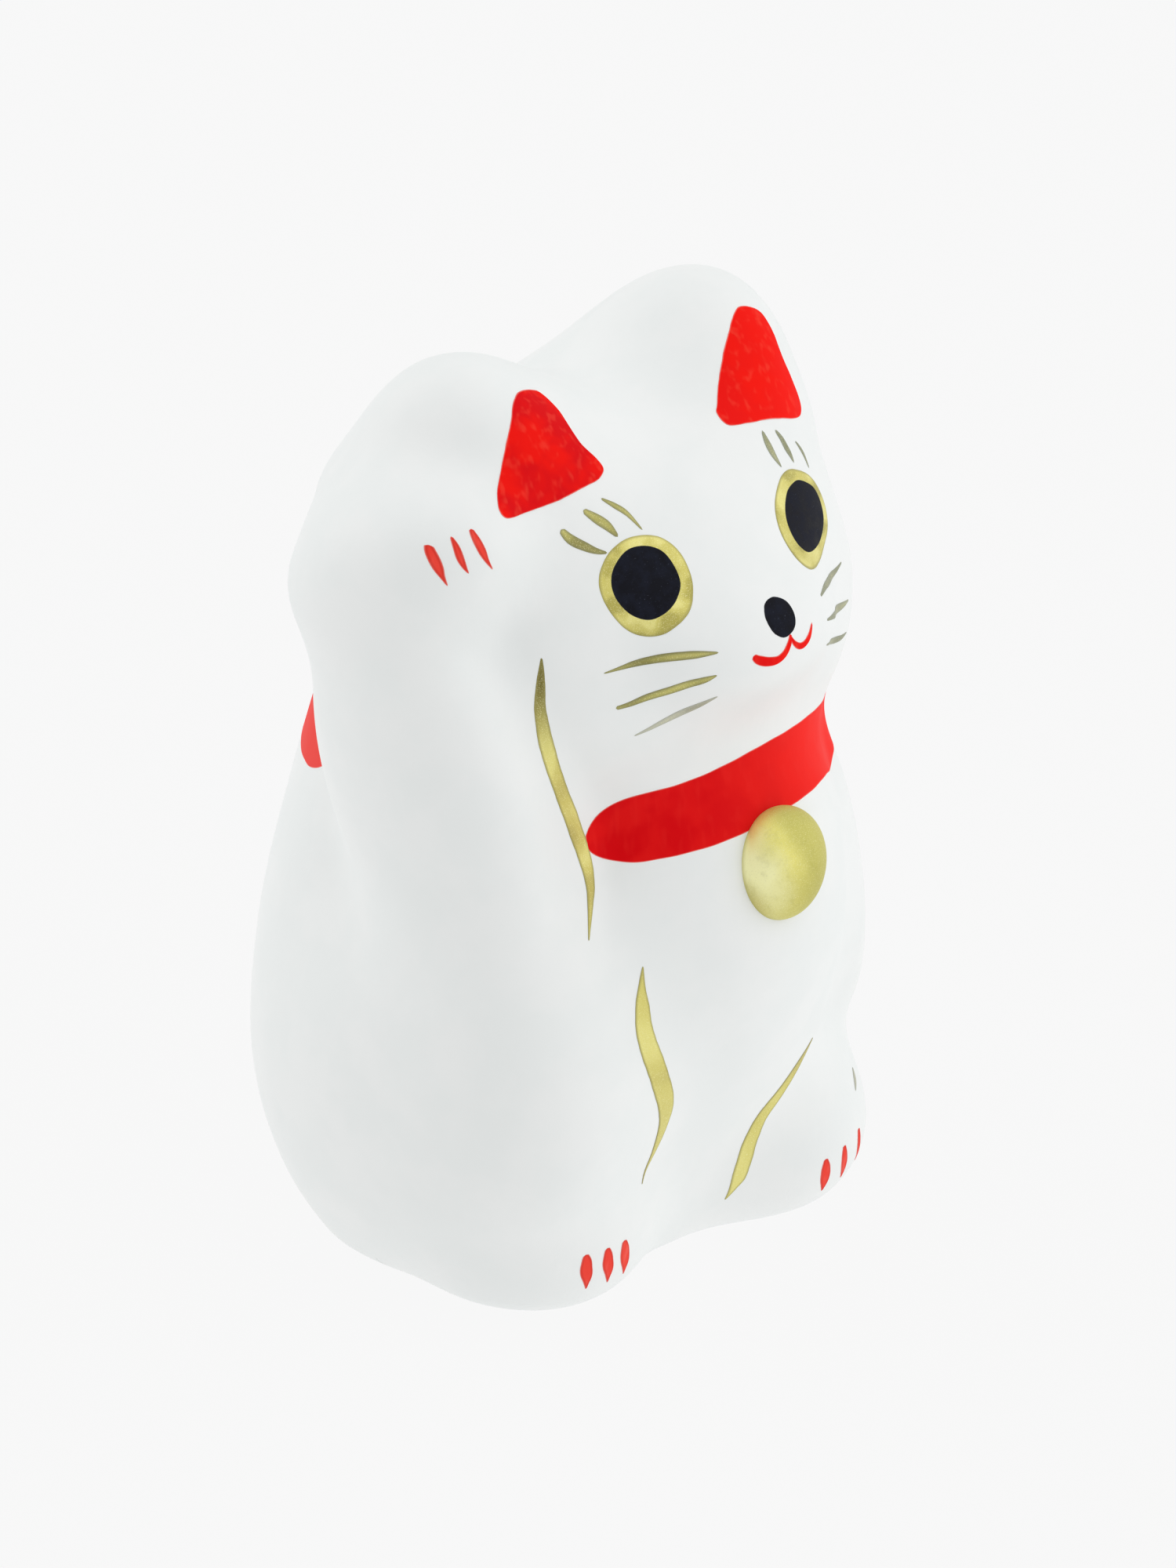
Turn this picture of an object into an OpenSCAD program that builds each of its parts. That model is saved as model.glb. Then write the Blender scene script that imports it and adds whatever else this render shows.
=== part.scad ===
// Beckoning cat: a hollow figure of moulded paper, brushed with chalk white and painted.
// Two moulded half shells meet at a seam plane through the sides. Paper strips bridge the
// seam inside, a board closes the bottom, and a lump of clay on the board keeps it upright.
// The cat faces -Y, its raised right paw is on the -X side, and +Z is up. The origin is at
// the middle of the resting face.
//
// The outer form is one smooth field: ellipsoids run into each other with soft blends.
// Rays from the upright axis find where the field is zero, and that gives every surface.

/* [Body] */
// Centre of the belly
belly_at = [0, 5, 24.5]; // [-5:0.5:30]
// Half width, half depth and half height of the belly
belly_size = [34.5, 26, 35.5]; // [25:0.5:40]
// Centre of the chest
chest_at = [0, -6.5, 44]; // [-10:0.5:50]
// Half sizes of the chest
chest_size = [21, 24, 26]; // [15:0.5:30]
// Centre of the back
back_at = [0, 10.5, 43.5]; // [0:0.5:50]
// Half sizes of the back
back_size = [23, 18.5, 36]; // [12:0.5:38]
// Centre of the low tail that curls round the back
tail_at = [6, 28, 12]; // [4:0.5:29]
// Half sizes of the tail
tail_size = [10, 4.2, 5.5]; // [3:0.1:12]

/* [Head] */
// Centre of the head
head_at = [0, -6.5, 71]; // [-10:0.5:75]
// Half sizes of the head
head_size = [26.5, 20, 22]; // [15:0.5:30]
// Centre of the crown between the ears
crown_at = [0, 3, 83]; // [0:0.5:85]
// Half sizes of the crown
crown_size = [27, 17.5, 7]; // [6:0.5:32]
// Centre of the left ear, mirrored for the right one
ear_at = [13.5, 0.5, 86]; // [0:0.5:88]
// Half sizes of an ear
ear_size = [10.5, 12, 16]; // [9:0.5:17]
// Centre of the muzzle
muzzle_at = [0, -24, 73.5]; // [-26:0.5:75]
// Half sizes of the muzzle
muzzle_size = [10.5, 7, 6]; // [5:0.5:12]

/* [Raised right arm] */
// Centre of the upright arm
arm_at = [-24.5, -6, 58.5]; // [-26:0.5:60]
// Half sizes of the upright arm
arm_size = [9.5, 13.5, 24.5]; // [7:0.5:28]
// Centre of the ridge down the front of the arm
ridge_at = [-18.5, -13.5, 58]; // [-20:0.5:60]
// Half sizes of the ridge
ridge_size = [4.5, 5, 17.5]; // [3.5:0.5:19]
// Centre of the wrist
wrist_at = [-22.5, -7.5, 68.5]; // [-24:0.5:72]
// Half sizes of the wrist
wrist_size = [7.5, 8, 13]; // [6:0.5:15]
// Centre of the web that joins the raised arm to the back of the head
web_at = [-19, 3, 70]; // [-21:0.5:72]
// Half sizes of the web
web_size = [9, 9.5, 14]; // [7:0.5:16]
// Centre of the paw that folds over beside the ear
paw_at = [-25.5, -2.5, 82]; // [-27:0.5:84]
// Half sizes of the paw
paw_size = [9.5, 14, 9]; // [7:0.5:15]

/* [Legs and left arm] */
// Centre of the right thigh
thigh_at = [-22, -10.5, 27]; // [-23:0.5:29]
// Half sizes of the right thigh
thigh_size = [12, 15, 20.5]; // [9:0.5:22]
// Centre of the lowered left arm
left_arm_at = [18.5, -11, 42]; // [-14:0.5:44]
// Half sizes of the left arm
left_arm_size = [4.5, 8, 21]; // [3.5:0.5:22]
// Centre of the right foot
right_foot_at = [-15.5, -9, 9]; // [-17:0.5:12]
// Centre of the left foot
left_foot_at = [13, -11.5, 10.5]; // [-13:0.5:15]
// Half sizes of a foot
foot_size = [12, 12, 11]; // [9:0.5:14]

/* [Moulded paper] */
// Wall of the moulded shells
wall = 2; // [1.2:0.1:2.6]
// Height of the rounding where the shells turn in to the resting face
base_rounding = 3.5; // [1:0.1:4]
// Columns of the surface round each half shell
shell_columns = 32; // [16:2:34]
// Rows of the surface up the body
body_rows = 26; // [14:1:28]
// Rows of the surface over the head
head_rows = 18; // [10:1:20]

/* [Inside] */
// Thickness of the board that closes the bottom
board_t = 1.6; // [1:0.1:3]
// Gap all round between the board and the shells
board_gap = 0.1; // [0:0.05:0.5]
// Radius of the clay weight
clay_r = 12.5; // [8:0.5:13]
// Height of the clay weight
clay_h = 9.5; // [3:0.5:12]
// Thickness of the paper strips on the seam
strip_t = 0.5; // [0.3:0.1:1]
// Angle of the body that a side strip covers, each way from the seam
strip_angle = 10; // [5:1:15]

/* [Paint] */
// How far a first coat of paint stands above the shell
coat = 0.25; // [0.1:0.05:0.4]
// How far every coat sinks into the shell
sink = 0.1; // [0.05:0.05:0.3]
// Half width of an eyebrow stroke
brow_w = 0.5; // [0.3:0.05:0.8]
// Half width of a whisker
whisker_w = 0.45; // [0.3:0.05:0.7]
// Half width of a claw stroke
claw_w = 0.5; // [0.3:0.05:0.8]
// Half length and half width of the gold of an eye
eye_size = [5, 3.7]; // [3:0.1:5.5]
// Half length and half width of a pupil
pupil_size = [3.7, 2.7]; // [2:0.1:4]
// Half length and half width of the nose
nose_size = [1.8, 1.6]; // [1:0.1:2.5]

/* [Collar and bell] */
// Height of the middle of the collar at the left side
collar_z = 54.4; // [53:0.2:57]
// Height of the collar band
collar_h = 6.8; // [5:0.2:8]
// Centre of the moulded bell
bell_at = [0, -29.5, 50]; // [-30:0.5:52]
// Half sizes of the moulded bell
bell_size = [5, 4, 6]; // [3:0.5:7]

/* [Hidden] */

CHALK = [0.91, 0.90, 0.88];
RED = [0.80, 0.05, 0.07];
GOLD = [0.74, 0.69, 0.34];
BLACK = [0.08, 0.09, 0.14];
PAPER = [0.78, 0.72, 0.60];
CLAY = [0.56, 0.42, 0.32];

// The upright axis that the rays start from, and the height where they begin to fan out
AXIS_Y = 2;
AXIS_TOP = 66;
// No part of the cat is further than this from the axis
REACH = 62;
// Halvings of a ray's interval, which find the surface to a few microns
HALVINGS = 14;
// Row heights grow by this power, so that the rows are closest at the rounded base
ROW_POWER = 1.2;

function mirrored(v) = [-v.x, v.y, v.z];
function lerp(a, b, t) = a + (b - a) * t;

// The matrix of a turn about X, then Y, then Z
function turn(a) =
    let (c = [cos(a.x), cos(a.y), cos(a.z)], s = [sin(a.x), sin(a.y), sin(a.z)])
    [[c.z * c.y, c.z * s.y * s.x - s.z * c.x, c.z * s.y * c.x + s.z * s.x],
     [s.z * c.y, s.z * s.y * s.x + c.z * c.x, s.z * s.y * c.x - c.z * s.x],
     [-s.y, c.y * s.x, c.y * c.x]];

// One mass of the figure: centre, half sizes, turn and softness of its blend
function mass(at, size, angles, blend) =
    [at, [for (s = size) 1 / s], [for (s = size) 1 / (s * s)], turn(angles), blend];

BODY = [
    mass(belly_at, belly_size, [0, 0, 0], 1),
    mass(chest_at, chest_size, [0, 0, 0], 12),
    mass(back_at, back_size, [0, 0, 0], 10.5),
    mass(head_at, head_size, [-16, 0, 0], 4.5),
    mass(crown_at, crown_size, [0, 0, 0], 6.5),
    mass(mirrored(ear_at), ear_size, [17, -18, 0], 10.5),
    mass(ear_at, ear_size, [17, 18, 0], 10.5),
    mass(arm_at, arm_size, [-6, -13, 0], 4),
    mass(wrist_at, wrist_size, [-11, -8, 0], 2),
    mass(web_at, web_size, [0, 0, 0], 3.5),
    mass(paw_at, paw_size, [-29, 12, -2], 5),
    mass(ridge_at, ridge_size, [-6, -8, 0], 3.5),
    mass(thigh_at, thigh_size, [8, -4, 0], 11),
    mass(left_arm_at, left_arm_size, [-5, -11, 0], 5.5),
    mass(right_foot_at, foot_size, [0, 0, 0], 4.5),
    mass(left_foot_at, foot_size, [0, 0, 0], 5),
    mass(muzzle_at, muzzle_size, [0, 0, 0], 5.5),
    mass(tail_at, tail_size, [0, -12, -12], 6)
];
// The collar is painted on the body, and the bell stands on both
BELL = mass(bell_at, bell_size, [0, 0, 0], 0.4);
MASSES = concat(BODY, [BELL]);

// How far a point is outside one mass, negative inside
function gap_to(p, m) =
    let (q = (p - m[0]) * m[3],
         k = norm([q.x * m[1].x, q.y * m[1].y, q.z * m[1].z]),
         g = norm([q.x * m[2].x, q.y * m[2].y, q.z * m[2].z]))
    k * (k - 1) / max(g, 1e-6);

// Two gaps run together softly over the distance k
function soft_min(a, b, k) =
    let (h = max(k - abs(a - b), 0) / k)
    min(a, b) - h * h * k / 4;

// How far a point is outside the masses, taken together
function gap(p, masses = MASSES, i = 0, d = 1000) =
    i == len(masses) ? d
        : gap(p, masses, i + 1, soft_min(d, gap_to(p, masses[i]), masses[i][4]));

// Distance from a point on the axis, along a ray, to where the gap equals level
function ray_length(from, way, level, masses = MASSES, near = 5, far = REACH, n = HALVINGS) =
    let (mid = (near + far) / 2)
    n == 0 ? mid :
    gap(from + mid * way, masses) < level
        ? ray_length(from, way, level, masses, mid, far, n - 1)
        : ray_length(from, way, level, masses, near, mid, n - 1);

// Height on the axis and rise of the rays of one row
function row_z(i) = i >= body_rows ? AXIS_TOP : AXIS_TOP * pow(i / body_rows, ROW_POWER);
function row_rise(i) = max(0, i - body_rows) * 90 / head_rows;

// How far the surface turns in at height z to round the base
function turn_in(z) =
    let (t = max(0, 1 - z / base_rounding))
    base_rounding * (1 - sqrt(1 - t * t));

// The surface point on row i at angle a, where the gap equals level
function skin(i, a, level) =
    let (z = row_z(i), e = row_rise(i), from = [0, AXIS_Y, z],
         way = [cos(a) * cos(e), sin(a) * cos(e), sin(e)])
    from + way * (ray_length(from, way, level) - turn_in(z));

// Two triangles for the square whose first corner is k in a grid with n points a row
function square(k, n) = [[k, k + n, k + 1], [k + 1, k + n, k + n + 1]];
function squares(rows, n, start = 0) =
    [for (i = [0:rows - 2]) for (j = [0:n - 2]) each square(start + i * n + j, n)];
function flipped(faces) = [for (f = faces) [f[2], f[1], f[0]]];
// The strip of triangles that joins two lists of point numbers
function band(a, b) =
    [for (i = [0:len(a) - 2]) each [[a[i], a[i + 1], b[i]], [a[i + 1], b[i + 1], b[i]]]];

// A closed sheet between two grids of points, outer and inner, of the same shape
module sheet(outer, inner) {
    rows = len(outer);
    n = len(outer[0]);
    k = rows * n;
    first = [for (j = [0:n - 1]) j];
    last = [for (j = [0:n - 1]) (rows - 1) * n + j];
    left = [for (i = [0:rows - 1]) i * n];
    right = [for (i = [0:rows - 1]) i * n + n - 1];
    function under(list) = [for (v = list) v + k];
    polyhedron(
        points = concat([for (r = outer) each r], [for (r = inner) each r]),
        faces = concat(
            squares(rows, n),
            flipped(squares(rows, n, k)),
            band(first, under(first)),
            flipped(band(last, under(last))),
            flipped(band(left, under(left))),
            band(right, under(right))));
}

// ---- moulded shells ----

// Half of the hollow figure, from angle a0 round by half a turn. Its last row is one point.
module half_shell(a0) {
    n = shell_columns + 1;
    rows = body_rows + head_rows;
    k = rows * n;
    function grid(level) =
        [for (i = [0:rows - 1]) for (j = [0:n - 1]) skin(i, a0 + 180 * j / shell_columns, level)];
    function top(level) = skin(rows, a0, level);
    first = [for (j = [0:n - 1]) j];
    left = [for (i = [0:rows - 1]) i * n];
    right = [for (i = [0:rows - 1]) i * n + n - 1];
    crown = (rows - 1) * n;
    function under(list) = [for (v = list) v + k];
    function fan(start, tip) = [for (j = [0:n - 2]) [start + j, tip, start + j + 1]];
    polyhedron(
        points = concat(grid(0), grid(-wall), [top(0), top(-wall)]),
        faces = concat(
            squares(rows, n), fan(crown, 2 * k),
            flipped(squares(rows, n, k)), flipped(fan(crown + k, 2 * k + 1)),
            band(first, under(first)),
            flipped(band(concat(left, [2 * k]), concat(under(left), [2 * k + 1]))),
            band(concat(right, [2 * k]), concat(under(right), [2 * k + 1]))));
}

module front_shell() {
    color(CHALK) half_shell(180);
}

module back_shell() {
    color(CHALK) half_shell(0);
}

// ---- inside pieces ----

module base_board() {
    edge = [for (j = [0:2 * shell_columns - 1])
        skin(0, 180 * j / shell_columns, -wall - board_gap)];
    color(PAPER) linear_extrude(height = board_t) polygon([for (p = edge) [p.x, p.y]]);
}

// A low dome of clay, pressed on the board
module clay_weight() {
    steps = 12;
    // Below 1 the dome is full at its edge, as a pressed lump is
    fullness = 0.7;
    dome = [for (i = [0:steps]) let (t = 90 * i / steps)
        [clay_r * pow(cos(t), fullness), clay_h * pow(sin(t), fullness)]];
    color(CLAY) translate([0, belly_at.y, board_t])
        rotate_extrude($fn = 64) polygon(concat([[0, 0]], dome));
}

// A side strip follows the shell's inner wall up the seam at angle a
module side_strip(a) {
    first_row = 3;
    last_row = body_rows + round(head_rows / 6);
    columns = 4;
    gap_out = wall + 0.1;
    function grid(level) = [for (i = [first_row:last_row])
        [for (j = [0:columns]) skin(i, a + strip_angle * (2 * j / columns - 1), level)]];
    color(PAPER) sheet(grid(-gap_out), grid(-gap_out - strip_t));
}

module seam_strip_right() {
    side_strip(180);
}

module seam_strip_left() {
    side_strip(0);
}

// The strip over the crown runs along the seam plane, with rays that fan out from the axis
module seam_strip_crown() {
    length_steps = 10;
    width_steps = 4;
    half_fan = 16;
    half_width = 8;
    gap_out = wall + 0.1;
    from = [0, AXIS_Y, AXIS_TOP];
    function inside(u, v, level) =
        let (f = 90 + half_fan * u, b = half_width * v,
             way = [cos(f) * cos(b), sin(b), sin(f) * cos(b)])
        from + way * ray_length(from, way, level);
    function grid(level) = [for (i = [0:length_steps])
        [for (j = [0:width_steps])
            inside(2 * i / length_steps - 1, 2 * j / width_steps - 1, level)]];
    color(PAPER) sheet(grid(-gap_out), grid(-gap_out - strip_t));
}

// ---- paint ----

// Steps and stride of the walk that finds the surface from the front
WALK_STEPS = 16;
STRIDE = 0.9;
FRONT_Y = -45;

// The surface point straight ahead of x and z, seen from the front
function ahead(x, z, y = FRONT_Y, n = WALK_STEPS) =
    n == 0 ? [x, y, z] : ahead(x, z, y + STRIDE * gap([x, y, z]), n - 1);

// The way out of the surface at a point
function outward(p) =
    let (h = 0.2, d = gap(p),
         v = [gap(p + [h, 0, 0]) - d, gap(p + [0, h, 0]) - d, gap(p + [0, 0, h]) - d])
    v / norm(v);

function raised(grid, ways, lift) =
    [for (i = [0:len(grid) - 1])
        [for (j = [0:len(grid[i]) - 1]) grid[i][j] + lift * ways[i][j]]];

// A coat of paint over a grid of surface points
module film(grid, from = -sink, to = coat) {
    ways = [for (r = grid) [for (p = r) outward(p)]];
    sheet(raised(grid, ways, to), raised(grid, ways, from));
}

// A point of a smooth curve through a list of points, with t from 0 to 1
function curve(list, t) =
    let (n = len(list) - 1, s = min(t * n, n - 1e-6), i = floor(s), u = s - i,
         a = list[max(i - 1, 0)], b = list[i], c = list[i + 1], d = list[min(i + 2, n)])
    ((2 * b) + (c - a) * u + (2 * a - 5 * b + 4 * c - d) * u * u
        + (3 * b - a - 3 * c + d) * u * u * u) / 2;

// A brush stroke. Its path lists x, z and half width as seen from the front.
module stroke(path, steps = 8, across = 2) {
    function station(t) = curve(path, t);
    function side(t) =
        let (v = station(min(t + 0.02, 1)) - station(max(t - 0.02, 0)))
        [v[1], -v[0]] / norm([v[0], v[1]]);
    grid = [for (i = [0:steps]) let (t = i / steps, p = station(t), s = side(t))
        [for (j = [0:across]) let (w = p[2] * (2 * j / across - 1))
            ahead(p[0] + w * s[0], p[1] + w * s[1])]];
    film(grid);
}

// A straight thin stroke from a to b, bent sideways by bow, widest at its middle
module thin_stroke(a, b, half_w, bow = 0, steps = 5) {
    mid = (a + b) / 2 + bow * [a[1] - b[1], b[0] - a[0]] / norm(b - a);
    tip = 0.3 * half_w;
    stroke([[a[0], a[1], tip], [mid[0], mid[1], half_w], [b[0], b[1], tip]], steps, 2);
}

// A patch of paint inside an outline of [x, z] points round a centre
module patch(centre, outline, rings = 3, from = -sink, to = coat) {
    n = len(outline);
    function at(k, i) = lerp(centre, outline[i % n], k / rings);
    spots = concat([ahead(centre[0], centre[1])],
        [for (k = [1:rings]) for (i = [0:n - 1]) let (q = at(k, i)) ahead(q[0], q[1])]);
    ways = [for (p = spots) outward(p)];
    count = len(spots);
    function spot(k, i) = 1 + (k - 1) * n + i % n;
    cap = concat(
        [for (i = [0:n - 1]) [0, spot(1, i), spot(1, i + 1)]],
        [for (k = [1:rings - 1]) for (i = [0:n - 1])
            each [[spot(k, i), spot(k + 1, i), spot(k, i + 1)],
                  [spot(k, i + 1), spot(k + 1, i), spot(k + 1, i + 1)]]]);
    rim = [for (i = [0:n]) spot(rings, i)];
    polyhedron(
        points = concat([for (i = [0:count - 1]) spots[i] + to * ways[i]],
                        [for (i = [0:count - 1]) spots[i] + from * ways[i]]),
        faces = concat(flipped(cap),
                       [for (f = cap) [f[0] + count, f[1] + count, f[2] + count]],
                       band(rim, [for (v = rim) v + count])));
}

// An oval outline whose length is turned by lean
function oval(centre, size, lean = 0, n = 18) =
    [for (i = [0:n - 1]) let (u = size[0] * cos(360 * i / n), v = size[1] * sin(360 * i / n))
        centre + [u * cos(lean) - v * sin(lean), u * sin(lean) + v * cos(lean)]];

// A shape with the given corners, each rounded over a part of the sides beside it
function rounded(corners, part = 0.2, corner_steps = 3, side_steps = 4) =
    let (n = len(corners))
    [for (i = [0:n - 1]) let (p = corners[i], a = corners[(i + n - 1) % n], b = corners[(i + 1) % n],
                              s = lerp(p, a, part), e = lerp(p, b, part), far = lerp(p, b, 1 - part))
        each concat(
            [for (k = [0:corner_steps]) let (t = k / corner_steps)
                s * (1 - t) * (1 - t) + p * 2 * t * (1 - t) + e * t * t],
            [for (k = [1:side_steps - 1]) lerp(e, far, k / side_steps)])];

// The corners of a red ear patch start at its tip and go against the clock
module ear_paint_right() {
    corners = [[-13.1, 99.5], [-22.9, 89.6], [-9.1, 91.1]];
    color(RED) patch([-15, 93.2], rounded(corners), rings = 4);
}

module ear_paint_left() {
    corners = [[17.2, 99.6], [6.4, 91.4], [19.6, 88.4]];
    color(RED) patch([14.3, 93], rounded(corners), rings = 4);
}

EYE_RIGHT = [-10.7, 81.6];
EYE_LEFT = [11.7, 81.6];
// How far the length of each eye is turned up from level
LEAN_RIGHT = 38;
LEAN_LEFT = 3;
PUPIL_LIFT = 0.12;

module eye_gold_right() {
    color(GOLD) patch(EYE_RIGHT, oval(EYE_RIGHT, eye_size, LEAN_RIGHT));
}

module eye_gold_left() {
    color(GOLD) patch(EYE_LEFT, oval(EYE_LEFT, eye_size, LEAN_LEFT));
}

// A pupil lies on the gold of its eye
module pupil(centre, lean) {
    color(BLACK) patch(centre, oval(centre, pupil_size, lean), from = coat, to = coat + PUPIL_LIFT);
}

module pupil_right() {
    pupil(EYE_RIGHT + [0, 0.1], LEAN_RIGHT);
}

module pupil_left() {
    pupil(EYE_LEFT + [0.3, 0], LEAN_LEFT);
}

module brows_right() {
    color(GOLD) {
        thin_stroke([-16.5, 87.3], [-13.1, 84.7], brow_w, -0.3);
        thin_stroke([-13.6, 88.6], [-11.5, 86], brow_w, -0.1);
        thin_stroke([-11.3, 89.2], [-8.7, 86.1], 0.6 * brow_w, 0.2);
    }
}

module brows_left() {
    color(GOLD) {
        thin_stroke([11.1, 89.5], [11.5, 86.3], 0.8 * brow_w, -0.2);
        thin_stroke([12.9, 89], [13.8, 85.9], 0.8 * brow_w, 0.1);
        thin_stroke([15.5, 87.1], [16.3, 84.4], 0.6 * brow_w, 0.2);
    }
}

module nose_paint() {
    centre = [0, 77];
    color(BLACK) patch(centre, oval(centre, nose_size, 22, 14), rings = 2);
}

// The mouth is two small curves that meet under the nose
module mouth_paint() {
    color(RED) stroke([[-4.3, 74.4, 0.35], [-3.4, 73.6, 0.5], [-2.2, 73.3, 0.5], [-0.9, 73.7, 0.4],
        [0.2, 74.9, 0.3], [1, 74, 0.35], [2, 73.8, 0.4], [3, 74.3, 0.4], [3.9, 75.3, 0.3]],
        steps = 18);
}

module whiskers_right() {
    color(GOLD) {
        thin_stroke([-16.6, 73.8], [-7.8, 75.3], whisker_w, 0.3, 7);
        thin_stroke([-15.8, 70], [-8.2, 72.9], whisker_w, -0.1, 6);
        thin_stroke([-14, 66.7], [-7.6, 70.2], 0.8 * whisker_w, -0.2, 6);
    }
}

module whiskers_left() {
    color(GOLD) {
        thin_stroke([7.2, 76.6], [16.6, 75.1], whisker_w, -0.1, 7);
        thin_stroke([6.9, 74.4], [17.4, 70.7], whisker_w, -0.15, 7);
        thin_stroke([7.3, 71.4], [16.6, 67.3], 0.8 * whisker_w, -0.3, 7);
    }
}

// The collar runs from the raised arm round the front, the left side and the back.
// Angles are about the axis, from +X against the clock.
COLLAR_START = 231;
COLLAR_END = 518;
// Angle of the throat, where the collar arches up, with the height and spread of the arch
THROAT = 279;
THROAT_RISE = 3.8;
THROAT_SPREAD = 37;
// The collar climbs this much from the left side to the nape
NAPE_RISE = 2.4;
NAPE_START = 320;
// Angle of body that the rounding of the collar's first end takes
COLLAR_ROUNDING = 15;

module collar_paint() {
    steps = 74;
    across = 3;
    function middle(a) = collar_z + THROAT_RISE * exp(-pow((a - THROAT) / THROAT_SPREAD, 2))
        + NAPE_RISE * sin(min(90, max(0, a - NAPE_START) / 2));
    function half(a) =
        let (u = 1 - min(1, (a - COLLAR_START) / COLLAR_ROUNDING))
        collar_h / 2 * max(0.3, sqrt(1 - u * u));
    function spot(a, v) =
        let (from = [0, AXIS_Y, middle(a) + v * half(a)], way = [cos(a), sin(a), 0])
        from + way * ray_length(from, way, 0, BODY);
    color(RED) film([for (i = [0:steps]) let (a = lerp(COLLAR_START, COLLAR_END, i / steps))
        [for (j = [0:across]) spot(a, 1 - 2 * j / across)]]);
}

// The gold goes over the whole face of the moulded bell, and over the edge of the collar
module bell_paint() {
    centre = [bell_at.x, bell_at.z];
    lap = 0.1;
    color(GOLD) patch(centre, oval(centre, [bell_size.x + lap, bell_size.z + lap], 0, 22),
        rings = 5, to = coat + lap);
}

module arm_line_right() {
    color(GOLD) stroke([[-21.2, 75.3, 0.2], [-22, 70.5, 0.6], [-21.6, 66, 0.75], [-20.4, 61.5, 0.8],
        [-18.8, 57, 0.95], [-17.9, 52.5, 0.85], [-18.9, 47.5, 0.25]], steps = 22);
}

module leg_line_right() {
    color(GOLD) stroke([[-15.3, 41.8, 0.25], [-15.8, 37.5, 0.85], [-15.2, 33.3, 1.1], [-13.5, 29, 1.15],
        [-11.8, 25, 1.1], [-11.6, 21, 0.7], [-12.2, 16.8, 0.25]], steps = 16);
}

module leg_line_left() {
    color(GOLD) stroke([[12.5, 22.5, 0.25], [9.8, 20.8, 0.5], [7, 18.7, 0.65], [4.7, 16.7, 0.8],
        [3.5, 14, 0.9], [3, 10.8, 0.8], [2.4, 7.5, 0.4]], steps = 14);
}

module flank_line_left() {
    color(GOLD) stroke([[19.9, 16.8, 0.2], [19.7, 15.9, 0.35], [19.3, 15, 0.35], [18.7, 14.2, 0.2]],
        steps = 6);
}

module paw_claws_right() {
    color(RED) {
        thin_stroke([-30.4, 88.8], [-29.9, 85.2], claw_w, -0.3);
        thin_stroke([-28.5, 89.4], [-28, 86.2], 0.8 * claw_w, -0.2);
        thin_stroke([-26.5, 89.8], [-25.7, 86.2], claw_w, -0.3);
    }
}

// Claw strokes on the front of a foot, listed by the x of their middle, its height and half length
module foot_claws(list) {
    slant = 0.5;
    color(RED) for (c = list)
        thin_stroke([c[0] - slant, c[1] + c[2]], [c[0] + slant, c[1] - c[2]], 1.3 * claw_w, 0);
}

module foot_claws_right() {
    foot_claws([[-19.3, 7.3, 2.2], [-16.6, 7.2, 2.2], [-14.2, 7.3, 2.2]]);
}

module foot_claws_left() {
    foot_claws([[12, 7.5, 2.2], [15.2, 8.2, 2], [17.9, 9, 1.7]]);
}

front_shell();
back_shell();
base_board();
clay_weight();
seam_strip_right();
seam_strip_left();
seam_strip_crown();
ear_paint_right();
ear_paint_left();
eye_gold_right();
eye_gold_left();
pupil_right();
pupil_left();
brows_right();
brows_left();
nose_paint();
mouth_paint();
whiskers_right();
whiskers_left();
collar_paint();
bell_paint();
arm_line_right();
leg_line_right();
leg_line_left();
flank_line_left();
paw_claws_right();
foot_claws_right();
foot_claws_left();
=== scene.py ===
"""Beckoning cat of moulded paper: its finished looks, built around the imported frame.

The form is a smooth field of ellipsoids that run into each other. The shells follow it,
and every brush mark is a thin closed film of paint that lies on it. Lengths in this
script are millimetres until a mesh is made, and named angles are degrees.
"""

import math

import bpy
import numpy as np
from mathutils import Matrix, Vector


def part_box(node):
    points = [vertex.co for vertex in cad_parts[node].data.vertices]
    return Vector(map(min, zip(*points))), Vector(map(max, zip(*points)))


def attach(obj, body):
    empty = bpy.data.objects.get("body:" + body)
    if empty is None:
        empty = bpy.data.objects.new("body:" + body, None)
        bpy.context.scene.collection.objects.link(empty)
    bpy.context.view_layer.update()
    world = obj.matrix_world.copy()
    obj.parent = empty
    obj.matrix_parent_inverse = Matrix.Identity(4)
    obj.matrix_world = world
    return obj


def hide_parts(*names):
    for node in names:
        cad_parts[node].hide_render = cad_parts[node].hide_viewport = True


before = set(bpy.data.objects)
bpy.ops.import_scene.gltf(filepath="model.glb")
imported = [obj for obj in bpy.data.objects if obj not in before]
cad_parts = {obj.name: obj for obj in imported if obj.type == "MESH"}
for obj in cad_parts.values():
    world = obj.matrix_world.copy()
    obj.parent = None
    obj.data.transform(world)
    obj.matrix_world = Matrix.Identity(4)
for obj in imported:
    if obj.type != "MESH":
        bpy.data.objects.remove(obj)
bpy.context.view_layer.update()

MM = 0.001
BODY_NAME = "root"

# ---- the form, in the design's own masses ----

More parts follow.
